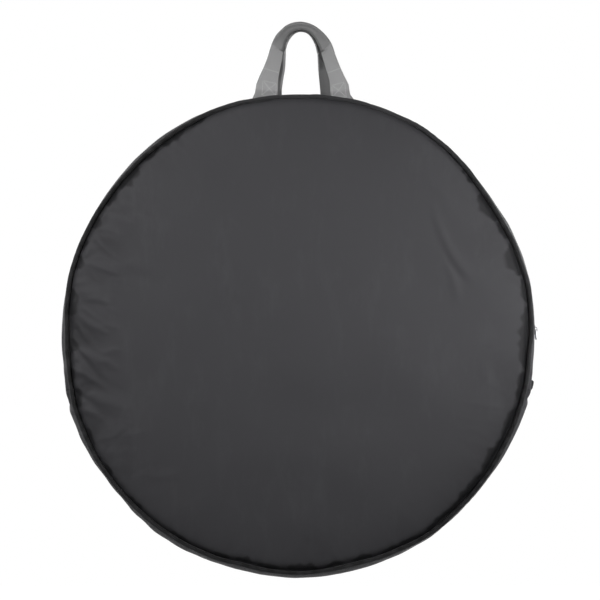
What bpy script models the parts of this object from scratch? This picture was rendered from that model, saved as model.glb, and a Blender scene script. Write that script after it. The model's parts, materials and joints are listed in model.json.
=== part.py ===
# Round padded bag for one bicycle wheel. It hangs by its two webbing handles.
# Front is -Y, up is +Z, and the origin is on the underside of the grips, where a hand or a hook holds it.
# All lengths are in metres. Heights on the disc are counted from the centre of the zipped arc.

import math

import bmesh
import bpy
from mathutils import Matrix, Vector

# Clearances and steps
GAP = 0.0003
FOLD_GAP = 0.0006
OVERRUN = 0.0005
CUT_MERGE = 0.000001
ZIP_ARC_STEPS = 36
LOWER_ARC_STEPS = 26

# Outline of the disc: a true arc over the top, a lower part that sags
SEAM_RADIUS = 0.3672
ZIP_END_DROP = math.radians(14.7)
LOWER_SAG = 0.013
SAG_POWER = 1.3

# Panels: shell, foam and lining, pinched together at the seam
HALF_DEPTH = 0.035
SHELL_THICKNESS = 0.0008
FOAM_THICKNESS = 0.010
FOAM_AT_SEAM = 0.0025
LINING_THICKNESS = 0.0006
RING_SHARES = (0.62, 0.86, 0.955, 1.0)
RISE_SHARES = (1.0, 0.94, 0.62, 0.0)
HUB_PATCH_RADIUS = 0.070
HUB_PATCH_THICKNESS = 0.0012
HUB_PATCH_SIDES = 28

# Seam trim
PIPING_RADIUS = 0.0034
PIPING_SIDES = 8
BINDING_WIDTH = 0.008
BINDING_THICKNESS = 0.0020

# Gusset round the rim
GUSSET_STEP = 0.0056
ZIP_GUSSET_THICKNESS = 0.0012
LOWER_FABRIC_THICKNESS = 0.0010
LOWER_FOAM_THICKNESS = 0.0040
LOWER_LINING_THICKNESS = 0.0006
LOWER_BULGE = 0.0110
BULGE_START_SHARE = 0.9
BULGE_SIDE_SHARE = 0.5

# Zip, which stands out from the edges of its gusset
ZIP_RISE = 0.0045
STRIP_EDGE_WIDTH = 0.0028
SLOPE_TOP_Y = 0.0175
HEM_FROM_MIDDLE = 0.009
TAPE_INNER_EDGE = 0.0020
TAPE_OUTER_EDGE = 0.016
TAPE_THICKNESS = 0.0006
TEETH_INNER_EDGE = 0.0008
TEETH_WIDTH = 0.0026
TEETH_HEIGHT = 0.0020
TAB_LENGTH = 0.016
TAB_WIDTH = 0.022
TAB_HEIGHT = 0.0096
LEFT_TAB_HEIGHT = 0.0050
TAB_ARC_STEPS = 8

# Zip slider and its wire pull
SLIDER_LENGTH = 0.016
SLIDER_WIDTH = 0.012
SLIDER_NOSE_SHARE = 0.6
PLATE_THICKNESS = 0.0012
PLATE_OVER_TEETH = 0.0005
PLATE_UNDER_TAPE = 0.0009
POST_WIDTH = 0.0010
POST_LENGTH = 0.0034
POST_FROM_NOSE = 0.0008
BAIL_WIDTH = 0.0026
BAIL_LENGTH = 0.0090
BAIL_THICKNESS = 0.0012
PULL_WIRE_RADIUS = 0.0009
PULL_WIRE_SIDES = 8
PULL_LENGTH = 0.0150
PULL_WIDTH = 0.0085
PULL_CORNER_RADIUS = 0.0022
PULL_CORNER_STEPS = 3
PULL_CLEARANCE = 0.0004

# Handles: flat webbing legs that fold in half lengthwise into the grip, from the gusset up
WEBBING_WIDTH = 0.038
WEBBING_THICKNESS = 0.0016
GRIP_WIDTH = 0.019
GRIP_THICKNESS = 0.0034
GRIP_ROLL = math.radians(58.0)
ROLL_START_RISE = 0.058
ROLL_LENGTH = 0.030
GRIP_LINE_RISE = 0.1107
GRIP_ARC_RISE = 0.038
GRIP_HALF_SPAN = 0.0365
GRIP_SHIFT = 0.0045
GRIP_FROM_MIDDLE = 0.012
FOLD_LENGTH = 0.0872
FOLD_POWER = 0.7
FRONT_BASE_HALF_SPAN = 0.061
FRONT_BASE_SHIFT = 0.009
BACK_BASE_HALF_SPAN = 0.051
BACK_BASE_SHIFT = 0.0045
HANDLE_FROM_PIPING = 0.0012
HANDLE_PIVOT_RISE = 0.0014
LEG_STEPS = 6
GRIP_ARC_STEPS = 10

# Sizes that follow from those above
PIPING_Y = HALF_DEPTH - OVERRUN
PIPING_LINE_RADIUS = SEAM_RADIUS + GAP + PIPING_RADIUS
PIPING_OUTER_RADIUS = PIPING_LINE_RADIUS + PIPING_RADIUS
GUSSET_RADIUS = SEAM_RADIUS + GUSSET_STEP
GUSSET_EDGE_Y = PIPING_Y - PIPING_RADIUS - GAP
ZIP_RADIUS = GUSSET_RADIUS + ZIP_RISE
SLOPE_FOOT_Y = GUSSET_EDGE_Y - STRIP_EDGE_WIDTH
TAPE_TOP_RADIUS = ZIP_RADIUS - ZIP_GUSSET_THICKNESS - GAP
TAPE_UNDER_RADIUS = TAPE_TOP_RADIUS - TAPE_THICKNESS
TEETH_UNDER_RADIUS = TAPE_TOP_RADIUS + GAP
TEETH_TOP_RADIUS = TEETH_UNDER_RADIUS + TEETH_HEIGHT

FOAM_RISE = FOAM_THICKNESS - FOAM_AT_SEAM
SHELL_INNER_Y = HALF_DEPTH - SHELL_THICKNESS
FOAM_OUTER_Y = SHELL_INNER_Y - GAP
FOAM_INNER_Y = FOAM_OUTER_Y - FOAM_AT_SEAM
LINING_OUTER_Y = FOAM_INNER_Y - GAP
LINING_INNER_Y = LINING_OUTER_Y - LINING_THICKNESS
LOWER_FOAM_EDGE_Y = LINING_INNER_Y - GAP
LOWER_BULGE_SIDE_Y = LOWER_FOAM_EDGE_Y * BULGE_SIDE_SHARE
LOWER_FOAM_RADIUS = GUSSET_RADIUS - LOWER_FABRIC_THICKNESS - GAP
LOWER_LINING_RADIUS = LOWER_FOAM_RADIUS - LOWER_FOAM_THICKNESS - GAP
BINDING_OUTER_RADIUS = LOWER_LINING_RADIUS - LOWER_LINING_THICKNESS - GAP

FOLD_HEIGHT = -SEAM_RADIUS * math.sin(ZIP_END_DROP)
FOLD_AXIS_Y = -(HALF_DEPTH + FOAM_RISE + PIPING_RADIUS - GAP)
HANDLE_BASE_Y = GUSSET_EDGE_Y - HANDLE_FROM_PIPING
HANDLE_PIVOT_HEIGHT = PIPING_OUTER_RADIUS + HANDLE_PIVOT_RISE
HANDLE_FOOT_RADIUS = GUSSET_RADIUS + GAP + WEBBING_WIDTH ** 2 / 8 / GUSSET_RADIUS
GRIP_LINE_HEIGHT = GUSSET_RADIUS + GRIP_LINE_RISE

PLATE_INNER_RADIUS = TEETH_TOP_RADIUS + PLATE_OVER_TEETH
PLATE_OUTER_RADIUS = PLATE_INNER_RADIUS + PLATE_THICKNESS
UNDER_PLATE_TOP = TAPE_UNDER_RADIUS - PLATE_UNDER_TAPE
UNDER_PLATE_BOTTOM = UNDER_PLATE_TOP - PLATE_THICKNESS
PULL_AXIS_RADIUS = PLATE_OUTER_RADIUS + PULL_CLEARANCE + PULL_WIRE_RADIUS
BAIL_INNER_RADIUS = PULL_AXIS_RADIUS + PULL_WIRE_RADIUS + PULL_CLEARANCE
BAIL_OUTER_RADIUS = BAIL_INNER_RADIUS + BAIL_THICKNESS

GRIP_UNDERSIDE = (GRIP_LINE_HEIGHT - math.cos(GRIP_ROLL) * GRIP_WIDTH / 2
                  - math.sin(GRIP_ROLL) * GRIP_THICKNESS / 2)
CENTRE_Z = -GRIP_UNDERSIDE

# Colours as seen in the photograph, with roughness and metallic value
FINISHES = {
    "shell_nylon": ((0.055, 0.054, 0.057), 0.55, 0.0),
    "foam": ((0.10, 0.10, 0.105), 0.9, 0.0),
    "lining": ((0.16, 0.16, 0.17), 0.7, 0.0),
    "trim": ((0.030, 0.030, 0.031), 0.7, 0.0),
    "zip_nylon": ((0.025, 0.025, 0.026), 0.45, 0.0),
    "slider_metal": ((0.10, 0.10, 0.105), 0.35, 1.0),
    "pull_metal": ((0.55, 0.55, 0.56), 0.3, 1.0),
    "webbing": ((0.30, 0.30, 0.31), 0.8, 0.0),
}


def clear_scene():
    for thing in list(bpy.data.objects):
        bpy.data.objects.remove(thing, do_unlink=True)


def finish(name):
    material = bpy.data.materials.get(name)
    if material is None:
        colour, roughness, metallic = FINISHES[name]
        material = bpy.data.materials.new(name)
        material.use_nodes = True
        shader = material.node_tree.nodes["Principled BSDF"]
        shader.inputs["Base Color"].default_value = (*colour, 1.0)
        shader.inputs["Roughness"].default_value = roughness
        shader.inputs["Metallic"].default_value = metallic
    return material


def keep_form(name, form, finish_name, smooth):
    bmesh.ops.recalc_face_normals(form, faces=form.faces)
    mesh = bpy.data.meshes.new(name)
    form.to_mesh(mesh)
    form.free()
    if smooth:
        mesh.shade_smooth()
        mesh.set_sharp_from_angle(angle=math.radians(40.0))
    mesh.materials.append(finish(finish_name))
    piece = bpy.data.objects.new(name, mesh)
    bpy.context.scene.collection.objects.link(piece)
    return piece


def skin_sections(name, sections, closed, finish_name, smooth=True):
    # Skins a row of sections with equal point counts, and caps both ends unless the row closes on itself.
    # Each side face is split along the diagonal that rises towards +Y, so nested layers keep their gap.
    form = bmesh.new()
    rows = [[form.verts.new(point) for point in section] for section in sections]
    last = len(rows) if closed else len(rows) - 1
    for index in range(last):
        here = rows[index]
        ahead = rows[(index + 1) % len(rows)]
        for corner in range(len(here)):
            after = (corner + 1) % len(here)
            first, second = sorted((corner, after), key=lambda place: here[place].co.y)
            form.faces.new((here[first], ahead[second], here[second]))
            form.faces.new((here[first], ahead[first], ahead[second]))
    if not closed:
        form.faces.new(rows[0])
        form.faces.new(rows[-1])
    return keep_form(name, form, finish_name, smooth)


def pivot(name, place, parent=None):
    # An empty on a joint's axis, given by its world place.
    mark = bpy.data.objects.new(name, None)
    bpy.context.scene.collection.objects.link(mark)
    mark["place"] = tuple(place)
    mark.location = place
    if parent is not None:
        mark.parent = parent
        mark.location = Vector(place) - Vector(parent["place"])
    return mark


def attach(piece, mark):
    piece.parent = mark
    piece.matrix_parent_inverse = Matrix.Translation(-Vector(mark["place"]))


# Angles are counted from +X, up over the top. The zip runs from -ZIP_END_DROP to pi + ZIP_END_DROP.
ZIP_START = -ZIP_END_DROP
ZIP_END = math.pi + ZIP_END_DROP
LOWER_END = 2 * math.pi - ZIP_END_DROP
END_GAP_ANGLE = GAP / 2 / SEAM_RADIUS
ZIP_STEP_ANGLE = (ZIP_END - ZIP_START) / ZIP_ARC_STEPS


def spaced(start, end, steps):
    return [start + (end - start) * index / steps for index in range(steps + 1)]


def trimmed(angles):
    # The same angles with both ends drawn in by half a gap.
    return [angles[0] + END_GAP_ANGLE, *angles[1:-1], angles[-1] - END_GAP_ANGLE]


ZIP_ANGLES = spaced(ZIP_START, ZIP_END, ZIP_ARC_STEPS)
LOWER_ANGLES = spaced(ZIP_END, LOWER_END, LOWER_ARC_STEPS)
RIM_ANGLES = ZIP_ANGLES + LOWER_ANGLES[1:-1]


def lower_share(angle):
    # 0 over the zipped arc and at its ends, 1 at the very bottom.
    full = math.pi / 2 - ZIP_END_DROP
    past_end = full - abs((angle % (2 * math.pi)) - 1.5 * math.pi)
    return max(0.0, past_end / full)


def sag(angle):
    return LOWER_SAG * math.sin(math.pi / 2 * lower_share(angle)) ** SAG_POWER


def bulge(angle, y):
    # The padded lower gusset swells between its seams, a little less at the zip's ends.
    at_end = lower_share(angle) * LOWER_ARC_STEPS / 2
    start = BULGE_START_SHARE + (1 - BULGE_START_SHARE) * min(1.0, at_end)
    return LOWER_BULGE * start * math.cos(math.pi / 2 * y / GUSSET_EDGE_Y)


def rim_point(angle, radius, y):
    reach = radius + sag(angle)
    return Vector((reach * math.cos(angle), y, CENTRE_Z + reach * math.sin(angle)))


def ring(angles, radius, y):
    return [rim_point(angle, radius, y) for angle in angles]


def panel_ring(share, y):
    return [Vector((point.x * share, y, CENTRE_Z + (point.z - CENTRE_Z) * share))
            for point in ring(RIM_ANGLES, SEAM_RADIUS, y)]


def crowned_rings(side, y):
    return [panel_ring(share, side * (y + FOAM_RISE * rise))
            for share, rise in zip(RING_SHARES, RISE_SHARES)]


def cut_at_fold(piece, keep_above):
    # Keeps the part of a front panel on one side of the fold line between the zip's ends.
    form = bmesh.new()
    form.from_mesh(piece.data)
    height = CENTRE_Z + FOLD_HEIGHT + (FOLD_GAP / 2 if keep_above else -FOLD_GAP / 2)
    bmesh.ops.bisect_plane(form, geom=[*form.verts, *form.edges, *form.faces], dist=CUT_MERGE,
                           plane_co=(0, 0, height), plane_no=(0, 0, 1),
                           clear_inner=keep_above, clear_outer=not keep_above)
    open_edges = [edge for edge in form.edges if edge.is_boundary]
    bmesh.ops.holes_fill(form, edges=open_edges, sides=0)
    bmesh.ops.recalc_face_normals(form, faces=form.faces)
    form.to_mesh(piece.data)
    form.free()
    return piece


def shell(name, side):
    outer = crowned_rings(side, HALF_DEPTH)
    inner = crowned_rings(side, SHELL_INNER_Y)
    return skin_sections(name, outer + inner[::-1], False, "shell_nylon")


def foam(name, side):
    outer = crowned_rings(side, FOAM_OUTER_Y)
    return skin_sections(name, [*outer, panel_ring(1.0, side * FOAM_INNER_Y)], False, "foam")


def lining(name, side):
    faces = [panel_ring(1.0, side * LINING_OUTER_Y), panel_ring(1.0, side * LINING_INNER_Y)]
    return skin_sections(name, faces, False, "lining")


def hub_patch(name, side):
    # A round wear patch on the lining, where the end of the axle presses.
    near = LINING_INNER_Y - GAP
    angles = [2 * math.pi * index / HUB_PATCH_SIDES for index in range(HUB_PATCH_SIDES)]
    faces = []
    for y in (near, near - HUB_PATCH_THICKNESS):
        faces.append([Vector((HUB_PATCH_RADIUS * math.cos(angle), side * y,
                              CENTRE_Z + HUB_PATCH_RADIUS * math.sin(angle))) for angle in angles])
    return skin_sections(name, faces, False, "trim")


def sweep_rim(name, angles, profile, finish_name, closed=False):
    # Carries a profile of (y, radius) points round the rim. The profile may change with the angle.
    sections = [[rim_point(angle, radius, y) for y, radius in profile(angle)] for angle in angles]
    return skin_sections(name, sections, closed, finish_name)


def piping_profile(side):
    turns = [2 * math.pi * index / PIPING_SIDES for index in range(PIPING_SIDES)]
    points = [(side * PIPING_Y + PIPING_RADIUS * math.sin(turn),
               PIPING_LINE_RADIUS + PIPING_RADIUS * math.cos(turn)) for turn in turns]
    return lambda angle: points


def box_profile(side, y_from, y_to, radius_from, radius_to):
    points = [(side * y_from, radius_from), (side * y_to, radius_from),
              (side * y_to, radius_to), (side * y_from, radius_to)]
    return lambda angle: points


def strip_profile(side):
    # From the hem over the raised part by the zip, down to the level of the piping's seam.
    outer = [(side * HEM_FROM_MIDDLE, ZIP_RADIUS), (side * SLOPE_TOP_Y, ZIP_RADIUS),
             (side * SLOPE_FOOT_Y, GUSSET_RADIUS), (side * GUSSET_EDGE_Y, GUSSET_RADIUS)]
    inner = [(y, radius - ZIP_GUSSET_THICKNESS) for y, radius in outer]
    return lambda angle: outer + inner[::-1]


def binding_profile(side):
    outer_y = LINING_INNER_Y - GAP
    return box_profile(side, outer_y - BINDING_THICKNESS, outer_y,
                       BINDING_OUTER_RADIUS - BINDING_WIDTH, BINDING_OUTER_RADIUS)


def lower_profile(edge_y, outer_radius, thickness):
    side_stations = [edge_y, LOWER_BULGE_SIDE_Y]
    if edge_y > LOWER_FOAM_EDGE_Y:
        side_stations.insert(1, LOWER_FOAM_EDGE_Y)
    stations = [-y for y in side_stations] + [0.0] + side_stations[::-1]

    def profile(angle):
        outer = [(y, outer_radius + bulge(angle, y)) for y in stations]
        inner = [(y, radius - thickness) for y, radius in outer]
        return outer + inner[::-1]

    return profile


def build_back():
    shell("back_shell", 1)
    foam("back_foam", 1)
    lining("back_lining", 1)
    hub_patch("back_hub_patch", 1)
    sweep_rim("back_piping", RIM_ANGLES, piping_profile(1), "trim", closed=True)
    sweep_rim("back_seam_binding", RIM_ANGLES, binding_profile(1), "trim", closed=True)


def build_front(flap):
    for maker, name in ((shell, "front_shell"), (foam, "front_foam"), (lining, "front_lining")):
        attach(cut_at_fold(maker(name, -1), True), flap)
        cut_at_fold(maker(name + "_lower", -1), False)
    attach(hub_patch("front_hub_patch", -1), flap)
    for name, profile in (("front_piping", piping_profile(-1)),
                          ("front_seam_binding", binding_profile(-1))):
        attach(sweep_rim(name, trimmed(ZIP_ANGLES), profile, "trim"), flap)
        sweep_rim(name + "_lower", trimmed(LOWER_ANGLES), profile, "trim")


def build_lower_gusset():
    angles = trimmed(LOWER_ANGLES)
    layers = (
        ("lower_gusset", GUSSET_EDGE_Y, GUSSET_RADIUS, LOWER_FABRIC_THICKNESS, "shell_nylon"),
        ("lower_gusset_foam", LOWER_FOAM_EDGE_Y, LOWER_FOAM_RADIUS, LOWER_FOAM_THICKNESS, "foam"),
        ("lower_gusset_lining", LOWER_FOAM_EDGE_Y, LOWER_LINING_RADIUS, LOWER_LINING_THICKNESS, "lining"),
    )
    for name, edge_y, radius, thickness, finish_name in layers:
        sweep_rim(name, angles, lower_profile(edge_y, radius, thickness), finish_name)


def build_zip_half(place, side):
    # One side of the zipped gusset: fabric strip, tape under its hem, and the row of teeth.
    angles = trimmed(ZIP_ANGLES)
    gusset = strip_profile(side)
    tape = box_profile(side, TAPE_INNER_EDGE, TAPE_OUTER_EDGE, TAPE_UNDER_RADIUS, TAPE_TOP_RADIUS)
    teeth = box_profile(side, TEETH_INNER_EDGE, TEETH_INNER_EDGE + TEETH_WIDTH,
                        TEETH_UNDER_RADIUS, TEETH_TOP_RADIUS)
    return [
        sweep_rim(place + "_zip_gusset", angles, gusset, "shell_nylon"),
        sweep_rim(place + "_zip_tape", angles, tape, "zip_nylon"),
        sweep_rim(place + "_zip_teeth", angles, teeth, "zip_nylon"),
    ]


def build_end_tab(name, side, height):
    # A folded fabric tab over one end of the zip, flat on the first facet of the teeth.
    facet_angle = ZIP_START + ZIP_STEP_ANGLE / 2
    facet_radius = TEETH_TOP_RADIUS * math.cos(ZIP_STEP_ANGLE / 2) + GAP
    facet_end = -TEETH_TOP_RADIUS * math.sin(ZIP_STEP_ANGLE / 2) + GAP
    outward = Vector((side * math.cos(facet_angle), 0, math.sin(facet_angle)))
    along = Vector((-side * math.sin(facet_angle), 0, math.cos(facet_angle)))
    middle = facet_end + TAB_LENGTH / 2
    outline = []
    for turn in spaced(0, math.pi, TAB_ARC_STEPS):
        outline.append(outward * (facet_radius + height * math.sin(turn))
                       + along * (middle + TAB_LENGTH / 2 * math.cos(turn)))
    sections = [[point + Vector((0, y, CENTRE_Z)) for point in outline]
                for y in (-TAB_WIDTH / 2, TAB_WIDTH / 2)]
    return skin_sections(name, sections, False, "trim")


def plate(name, radius_from, radius_to):
    # A slider plate seen from outside: blunt tail, narrower nose.
    half_length = SLIDER_LENGTH / 2
    half_width = SLIDER_WIDTH / 2
    nose = half_width * SLIDER_NOSE_SHARE
    outline = [(-half_width, -nose), (-half_width, nose), (-nose, half_length),
               (nose, half_length), (half_width, nose), (half_width, -nose),
               (nose, -half_length), (-nose, -half_length)]
    sections = [[Vector((radius, y, CENTRE_Z + z)) for y, z in outline]
                for radius in (radius_from, radius_to)]
    return skin_sections(name, sections, False, "slider_metal", smooth=False)


def block(name, low, high, finish_name):
    corners = [(low[1], low[2]), (high[1], low[2]), (high[1], high[2]), (low[1], high[2])]
    sections = [[Vector((x, y, CENTRE_Z + z)) for y, z in corners] for x in (low[0], high[0])]
    return skin_sections(name, sections, False, finish_name, smooth=False)


def unite(piece, others):
    for other in others:
        joiner = piece.modifiers.new("join_" + other.name, "BOOLEAN")
        joiner.operation = "UNION"
        joiner.solver = "EXACT"
        joiner.object = other
        other.hide_render = True
        other.display_type = "WIRE"


def build_slider(slider_pivot):
    outer = plate("zip_slider", PLATE_INNER_RADIUS, PLATE_OUTER_RADIUS)
    under = plate("slider_under_plate", UNDER_PLATE_BOTTOM, UNDER_PLATE_TOP)
    nose = SLIDER_LENGTH / 2 - POST_FROM_NOSE
    post = block("slider_post", (UNDER_PLATE_TOP - OVERRUN, -POST_WIDTH / 2, -nose),
                 (PLATE_INNER_RADIUS + OVERRUN, POST_WIDTH / 2, POST_LENGTH - nose), "slider_metal")
    parts = [under, post]
    for place, sign in (("upper", 1), ("lower", -1)):
        foot = sorted((sign * BAIL_LENGTH / 2, sign * (BAIL_LENGTH / 2 - BAIL_THICKNESS)))
        parts.append(block(f"bail_{place}_foot", (PLATE_OUTER_RADIUS - OVERRUN, -BAIL_WIDTH / 2, foot[0]),
                           (BAIL_INNER_RADIUS + OVERRUN, BAIL_WIDTH / 2, foot[1]), "slider_metal"))
    parts.append(block("bail_arch", (BAIL_INNER_RADIUS, -BAIL_WIDTH / 2, -BAIL_LENGTH / 2),
                       (BAIL_OUTER_RADIUS, BAIL_WIDTH / 2, BAIL_LENGTH / 2), "slider_metal"))
    unite(outer, parts)
    for piece in [outer, *parts]:
        attach(piece, slider_pivot)


def build_pull(pull_pivot):
    # A closed wire loop whose upper bar passes under the slider's bail and hangs from it.
    half_width = PULL_WIDTH / 2 - PULL_CORNER_RADIUS
    corners = ((half_width, -PULL_CORNER_RADIUS, 0.0), (-half_width, -PULL_CORNER_RADIUS, 0.5),
               (-half_width, PULL_CORNER_RADIUS - PULL_LENGTH, 1.0),
               (half_width, PULL_CORNER_RADIUS - PULL_LENGTH, 1.5))
    sections = []
    for y, z, quarter_share in corners:
        for turn in spaced(quarter_share * math.pi, (quarter_share + 0.5) * math.pi, PULL_CORNER_STEPS):
            outward = Vector((0, math.cos(turn), math.sin(turn)))
            line = Vector((PULL_AXIS_RADIUS, y, CENTRE_Z + z)) + outward * PULL_CORNER_RADIUS
            wire = []
            for index in range(PULL_WIRE_SIDES):
                around = 2 * math.pi * (index + 0.5) / PULL_WIRE_SIDES
                wire.append(line + outward * PULL_WIRE_RADIUS * math.cos(around)
                            + Vector((PULL_WIRE_RADIUS * math.sin(around), 0, 0)))
            sections.append(wire)
    attach(skin_sections("zip_pull", sections, True, "pull_metal"), pull_pivot)


def handle_line(base_half_span, base_shift):
    # The middle line of a handle from its left foot over the grip to its right foot, as (x, height).
    arc_start = GRIP_LINE_HEIGHT - GRIP_ARC_RISE
    foot_height = GUSSET_RADIUS
    legs = []
    for side in (-1, 1):
        foot_x = base_shift + side * base_half_span
        top_x = GRIP_SHIFT + side * GRIP_HALF_SPAN
        legs.append([(foot_x + (top_x - foot_x) * share, foot_height + (arc_start - foot_height) * share)
                     for share in spaced(0.0, 1.0, LEG_STEPS)])
    arc = [(GRIP_SHIFT + GRIP_HALF_SPAN * math.cos(turn), arc_start + GRIP_ARC_RISE * math.sin(turn))
           for turn in spaced(math.pi, 0.0, GRIP_ARC_STEPS)[1:-1]]
    return legs[0] + arc + legs[1][::-1]


def build_handle(name, side, base_half_span, base_shift, mark):
    line = handle_line(base_half_span, base_shift)
    sections = []
    for index, (x, height) in enumerate(line):
        before = line[max(index - 1, 0)]
        after = line[min(index + 1, len(line) - 1)]
        rise = (height - GUSSET_RADIUS) / GRIP_LINE_RISE
        y = side * (HANDLE_BASE_Y + (GRIP_FROM_MIDDLE - HANDLE_BASE_Y) * rise)
        fold = min(1.0, (height - GUSSET_RADIUS) / FOLD_LENGTH) ** FOLD_POWER
        width = WEBBING_WIDTH + (GRIP_WIDTH - WEBBING_WIDTH) * fold
        thickness = WEBBING_THICKNESS + (GRIP_THICKNESS - WEBBING_THICKNESS) * fold
        roll = GRIP_ROLL * min(1.0, max(0.0, (height - GUSSET_RADIUS - ROLL_START_RISE) / ROLL_LENGTH))
        tangent = Vector((after[0] - before[0], 0, after[1] - before[1])).normalized()
        inward = Vector((tangent.z, 0, -tangent.x))
        across = inward * math.cos(roll) + Vector((0, -side * math.sin(roll), 0))
        through = tangent.cross(across)
        middle = Vector((x, y, CENTRE_Z + height))
        corners = []
        for wide, deep in ((-1, -1), (1, -1), (1, 1), (-1, 1)):
            corner = middle + across * wide * width / 2 + through * deep * thickness / 2
            if index in (0, len(line) - 1):
                corner.z = CENTRE_Z + math.sqrt(HANDLE_FOOT_RADIUS ** 2 - corner.x ** 2)
            corners.append(corner)
        sections.append(corners)
    attach(skin_sections(name, sections, False, "webbing"), mark)


def main():
    clear_scene()
    flap = pivot("flap_pivot", (0, FOLD_AXIS_Y, CENTRE_Z + FOLD_HEIGHT))
    front_handle_pivot = pivot("front_handle_pivot", (0, -PIPING_Y, CENTRE_Z + HANDLE_PIVOT_HEIGHT), flap)
    back_handle_pivot = pivot("back_handle_pivot", (0, PIPING_Y, CENTRE_Z + HANDLE_PIVOT_HEIGHT))
    slider_pivot = pivot("slider_pivot", (0, 0, CENTRE_Z))
    pull_pivot = pivot("pull_pivot", (PULL_AXIS_RADIUS, 0, CENTRE_Z), slider_pivot)

    build_back()
    build_front(flap)
    build_lower_gusset()
    build_zip_half("back", 1)
    for piece in build_zip_half("front", -1):
        attach(piece, flap)
    build_end_tab("zip_end_tab_right", 1, TAB_HEIGHT)
    build_end_tab("zip_end_tab_left", -1, LEFT_TAB_HEIGHT)
    build_slider(slider_pivot)
    build_pull(pull_pivot)
    build_handle("front_handle", -1, FRONT_BASE_HALF_SPAN, FRONT_BASE_SHIFT, front_handle_pivot)
    build_handle("back_handle", 1, BACK_BASE_HALF_SPAN, BACK_BASE_SHIFT, back_handle_pivot)


main()
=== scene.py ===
import json
import math

import bmesh
import bpy
import numpy as np
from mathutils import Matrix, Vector


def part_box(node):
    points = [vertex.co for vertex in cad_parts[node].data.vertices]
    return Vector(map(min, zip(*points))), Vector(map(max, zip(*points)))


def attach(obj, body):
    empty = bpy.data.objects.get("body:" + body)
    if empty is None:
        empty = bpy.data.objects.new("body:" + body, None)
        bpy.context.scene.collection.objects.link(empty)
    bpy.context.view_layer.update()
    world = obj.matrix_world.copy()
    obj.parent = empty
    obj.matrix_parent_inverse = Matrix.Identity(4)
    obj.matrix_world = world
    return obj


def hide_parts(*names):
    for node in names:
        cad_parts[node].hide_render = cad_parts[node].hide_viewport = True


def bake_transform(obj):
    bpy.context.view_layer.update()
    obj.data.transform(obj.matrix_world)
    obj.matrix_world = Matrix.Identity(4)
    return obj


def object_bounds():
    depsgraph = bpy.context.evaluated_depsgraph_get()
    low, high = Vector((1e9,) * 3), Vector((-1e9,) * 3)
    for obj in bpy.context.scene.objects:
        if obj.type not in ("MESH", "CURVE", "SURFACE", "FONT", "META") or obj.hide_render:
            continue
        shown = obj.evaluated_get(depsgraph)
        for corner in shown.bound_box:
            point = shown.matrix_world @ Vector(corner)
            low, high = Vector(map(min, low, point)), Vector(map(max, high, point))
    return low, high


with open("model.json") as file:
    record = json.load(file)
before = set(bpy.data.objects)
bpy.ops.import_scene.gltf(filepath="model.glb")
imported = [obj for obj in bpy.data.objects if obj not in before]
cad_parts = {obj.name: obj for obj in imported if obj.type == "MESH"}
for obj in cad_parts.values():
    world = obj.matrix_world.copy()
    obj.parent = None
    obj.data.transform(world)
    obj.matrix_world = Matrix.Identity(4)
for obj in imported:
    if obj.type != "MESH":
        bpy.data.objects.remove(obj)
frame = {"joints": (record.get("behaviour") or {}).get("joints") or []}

# A round padded wheel bag that hangs by its two webbing handles. Front is -Y, up is +Z, in metres.
cadLow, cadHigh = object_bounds()

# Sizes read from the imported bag
joints = {joint["name"]: joint for joint in frame["joints"]}
discZ = joints["slider_travel"]["pos_m"][2]        # centre of the zipped arc
foldY, foldZ = joints["flap_fold"]["pos_m"][1:]    # line on which the opened front folds down
shellLow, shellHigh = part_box("back_shell")
seamRadius = shellHigh.z - discZ
lowerSag = discZ - shellLow.z - seamRadius         # how much lower the bottom hangs than a true circle
zipEndAngle = math.asin((discZ - foldZ) / seamRadius)
crownY = shellHigh.y
pipingLow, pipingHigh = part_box("back_piping")
pipingRadius = (pipingHigh.y - pipingLow.y) / 2
pipingY = (pipingHigh.y + pipingLow.y) / 2
pipingReach = pipingHigh.z - discZ - pipingRadius
gussetLow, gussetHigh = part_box("back_zip_gusset")
zipRise = 0.0045                                   # how far the zip stands out from the gusset's edges
gussetReach = gussetHigh.z - discZ - zipRise
zipReach = gussetReach + zipRise
gussetEdgeY = gussetHigh.y
hemY = gussetLow.y
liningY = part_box("back_lining")[0].y

rim = {"sagPower": 1.3, "seamY": 0.035, "backShare": 0.5}

# The front seam's way round isn't a true circle: degrees from 3 o'clock, and millimetres further out
frontWay = [(0, -0.4), (10, 1.2), (20, -1.2), (30, -4.2), (37, -4.0), (45, 0.0), (52, 2.6), (60, 4.2),
            (68, 4.8), (76, 3.8), (84, 2.2), (90, 1.4), (100, 1.4), (105, 2.8), (110, 2.6), (120, -0.8),
            (130, -2.2), (140, -2.8), (150, -2.0), (160, -0.4), (166, -0.2), (173, -1.6), (180, -4.0),
            (187, -3.2), (193, 0.0), (200, 3.2), (212, 4.6), (225, 3.8), (240, 3.2), (250, 1.8),
            (257, -0.6), (265, 1.2), (270, 1.4), (283, -1.0), (293, 1.2), (302, 4.6), (312, 2.8),
            (320, 2.4), (330, 1.8), (345, 1.6), (354, -1.8)]
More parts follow.
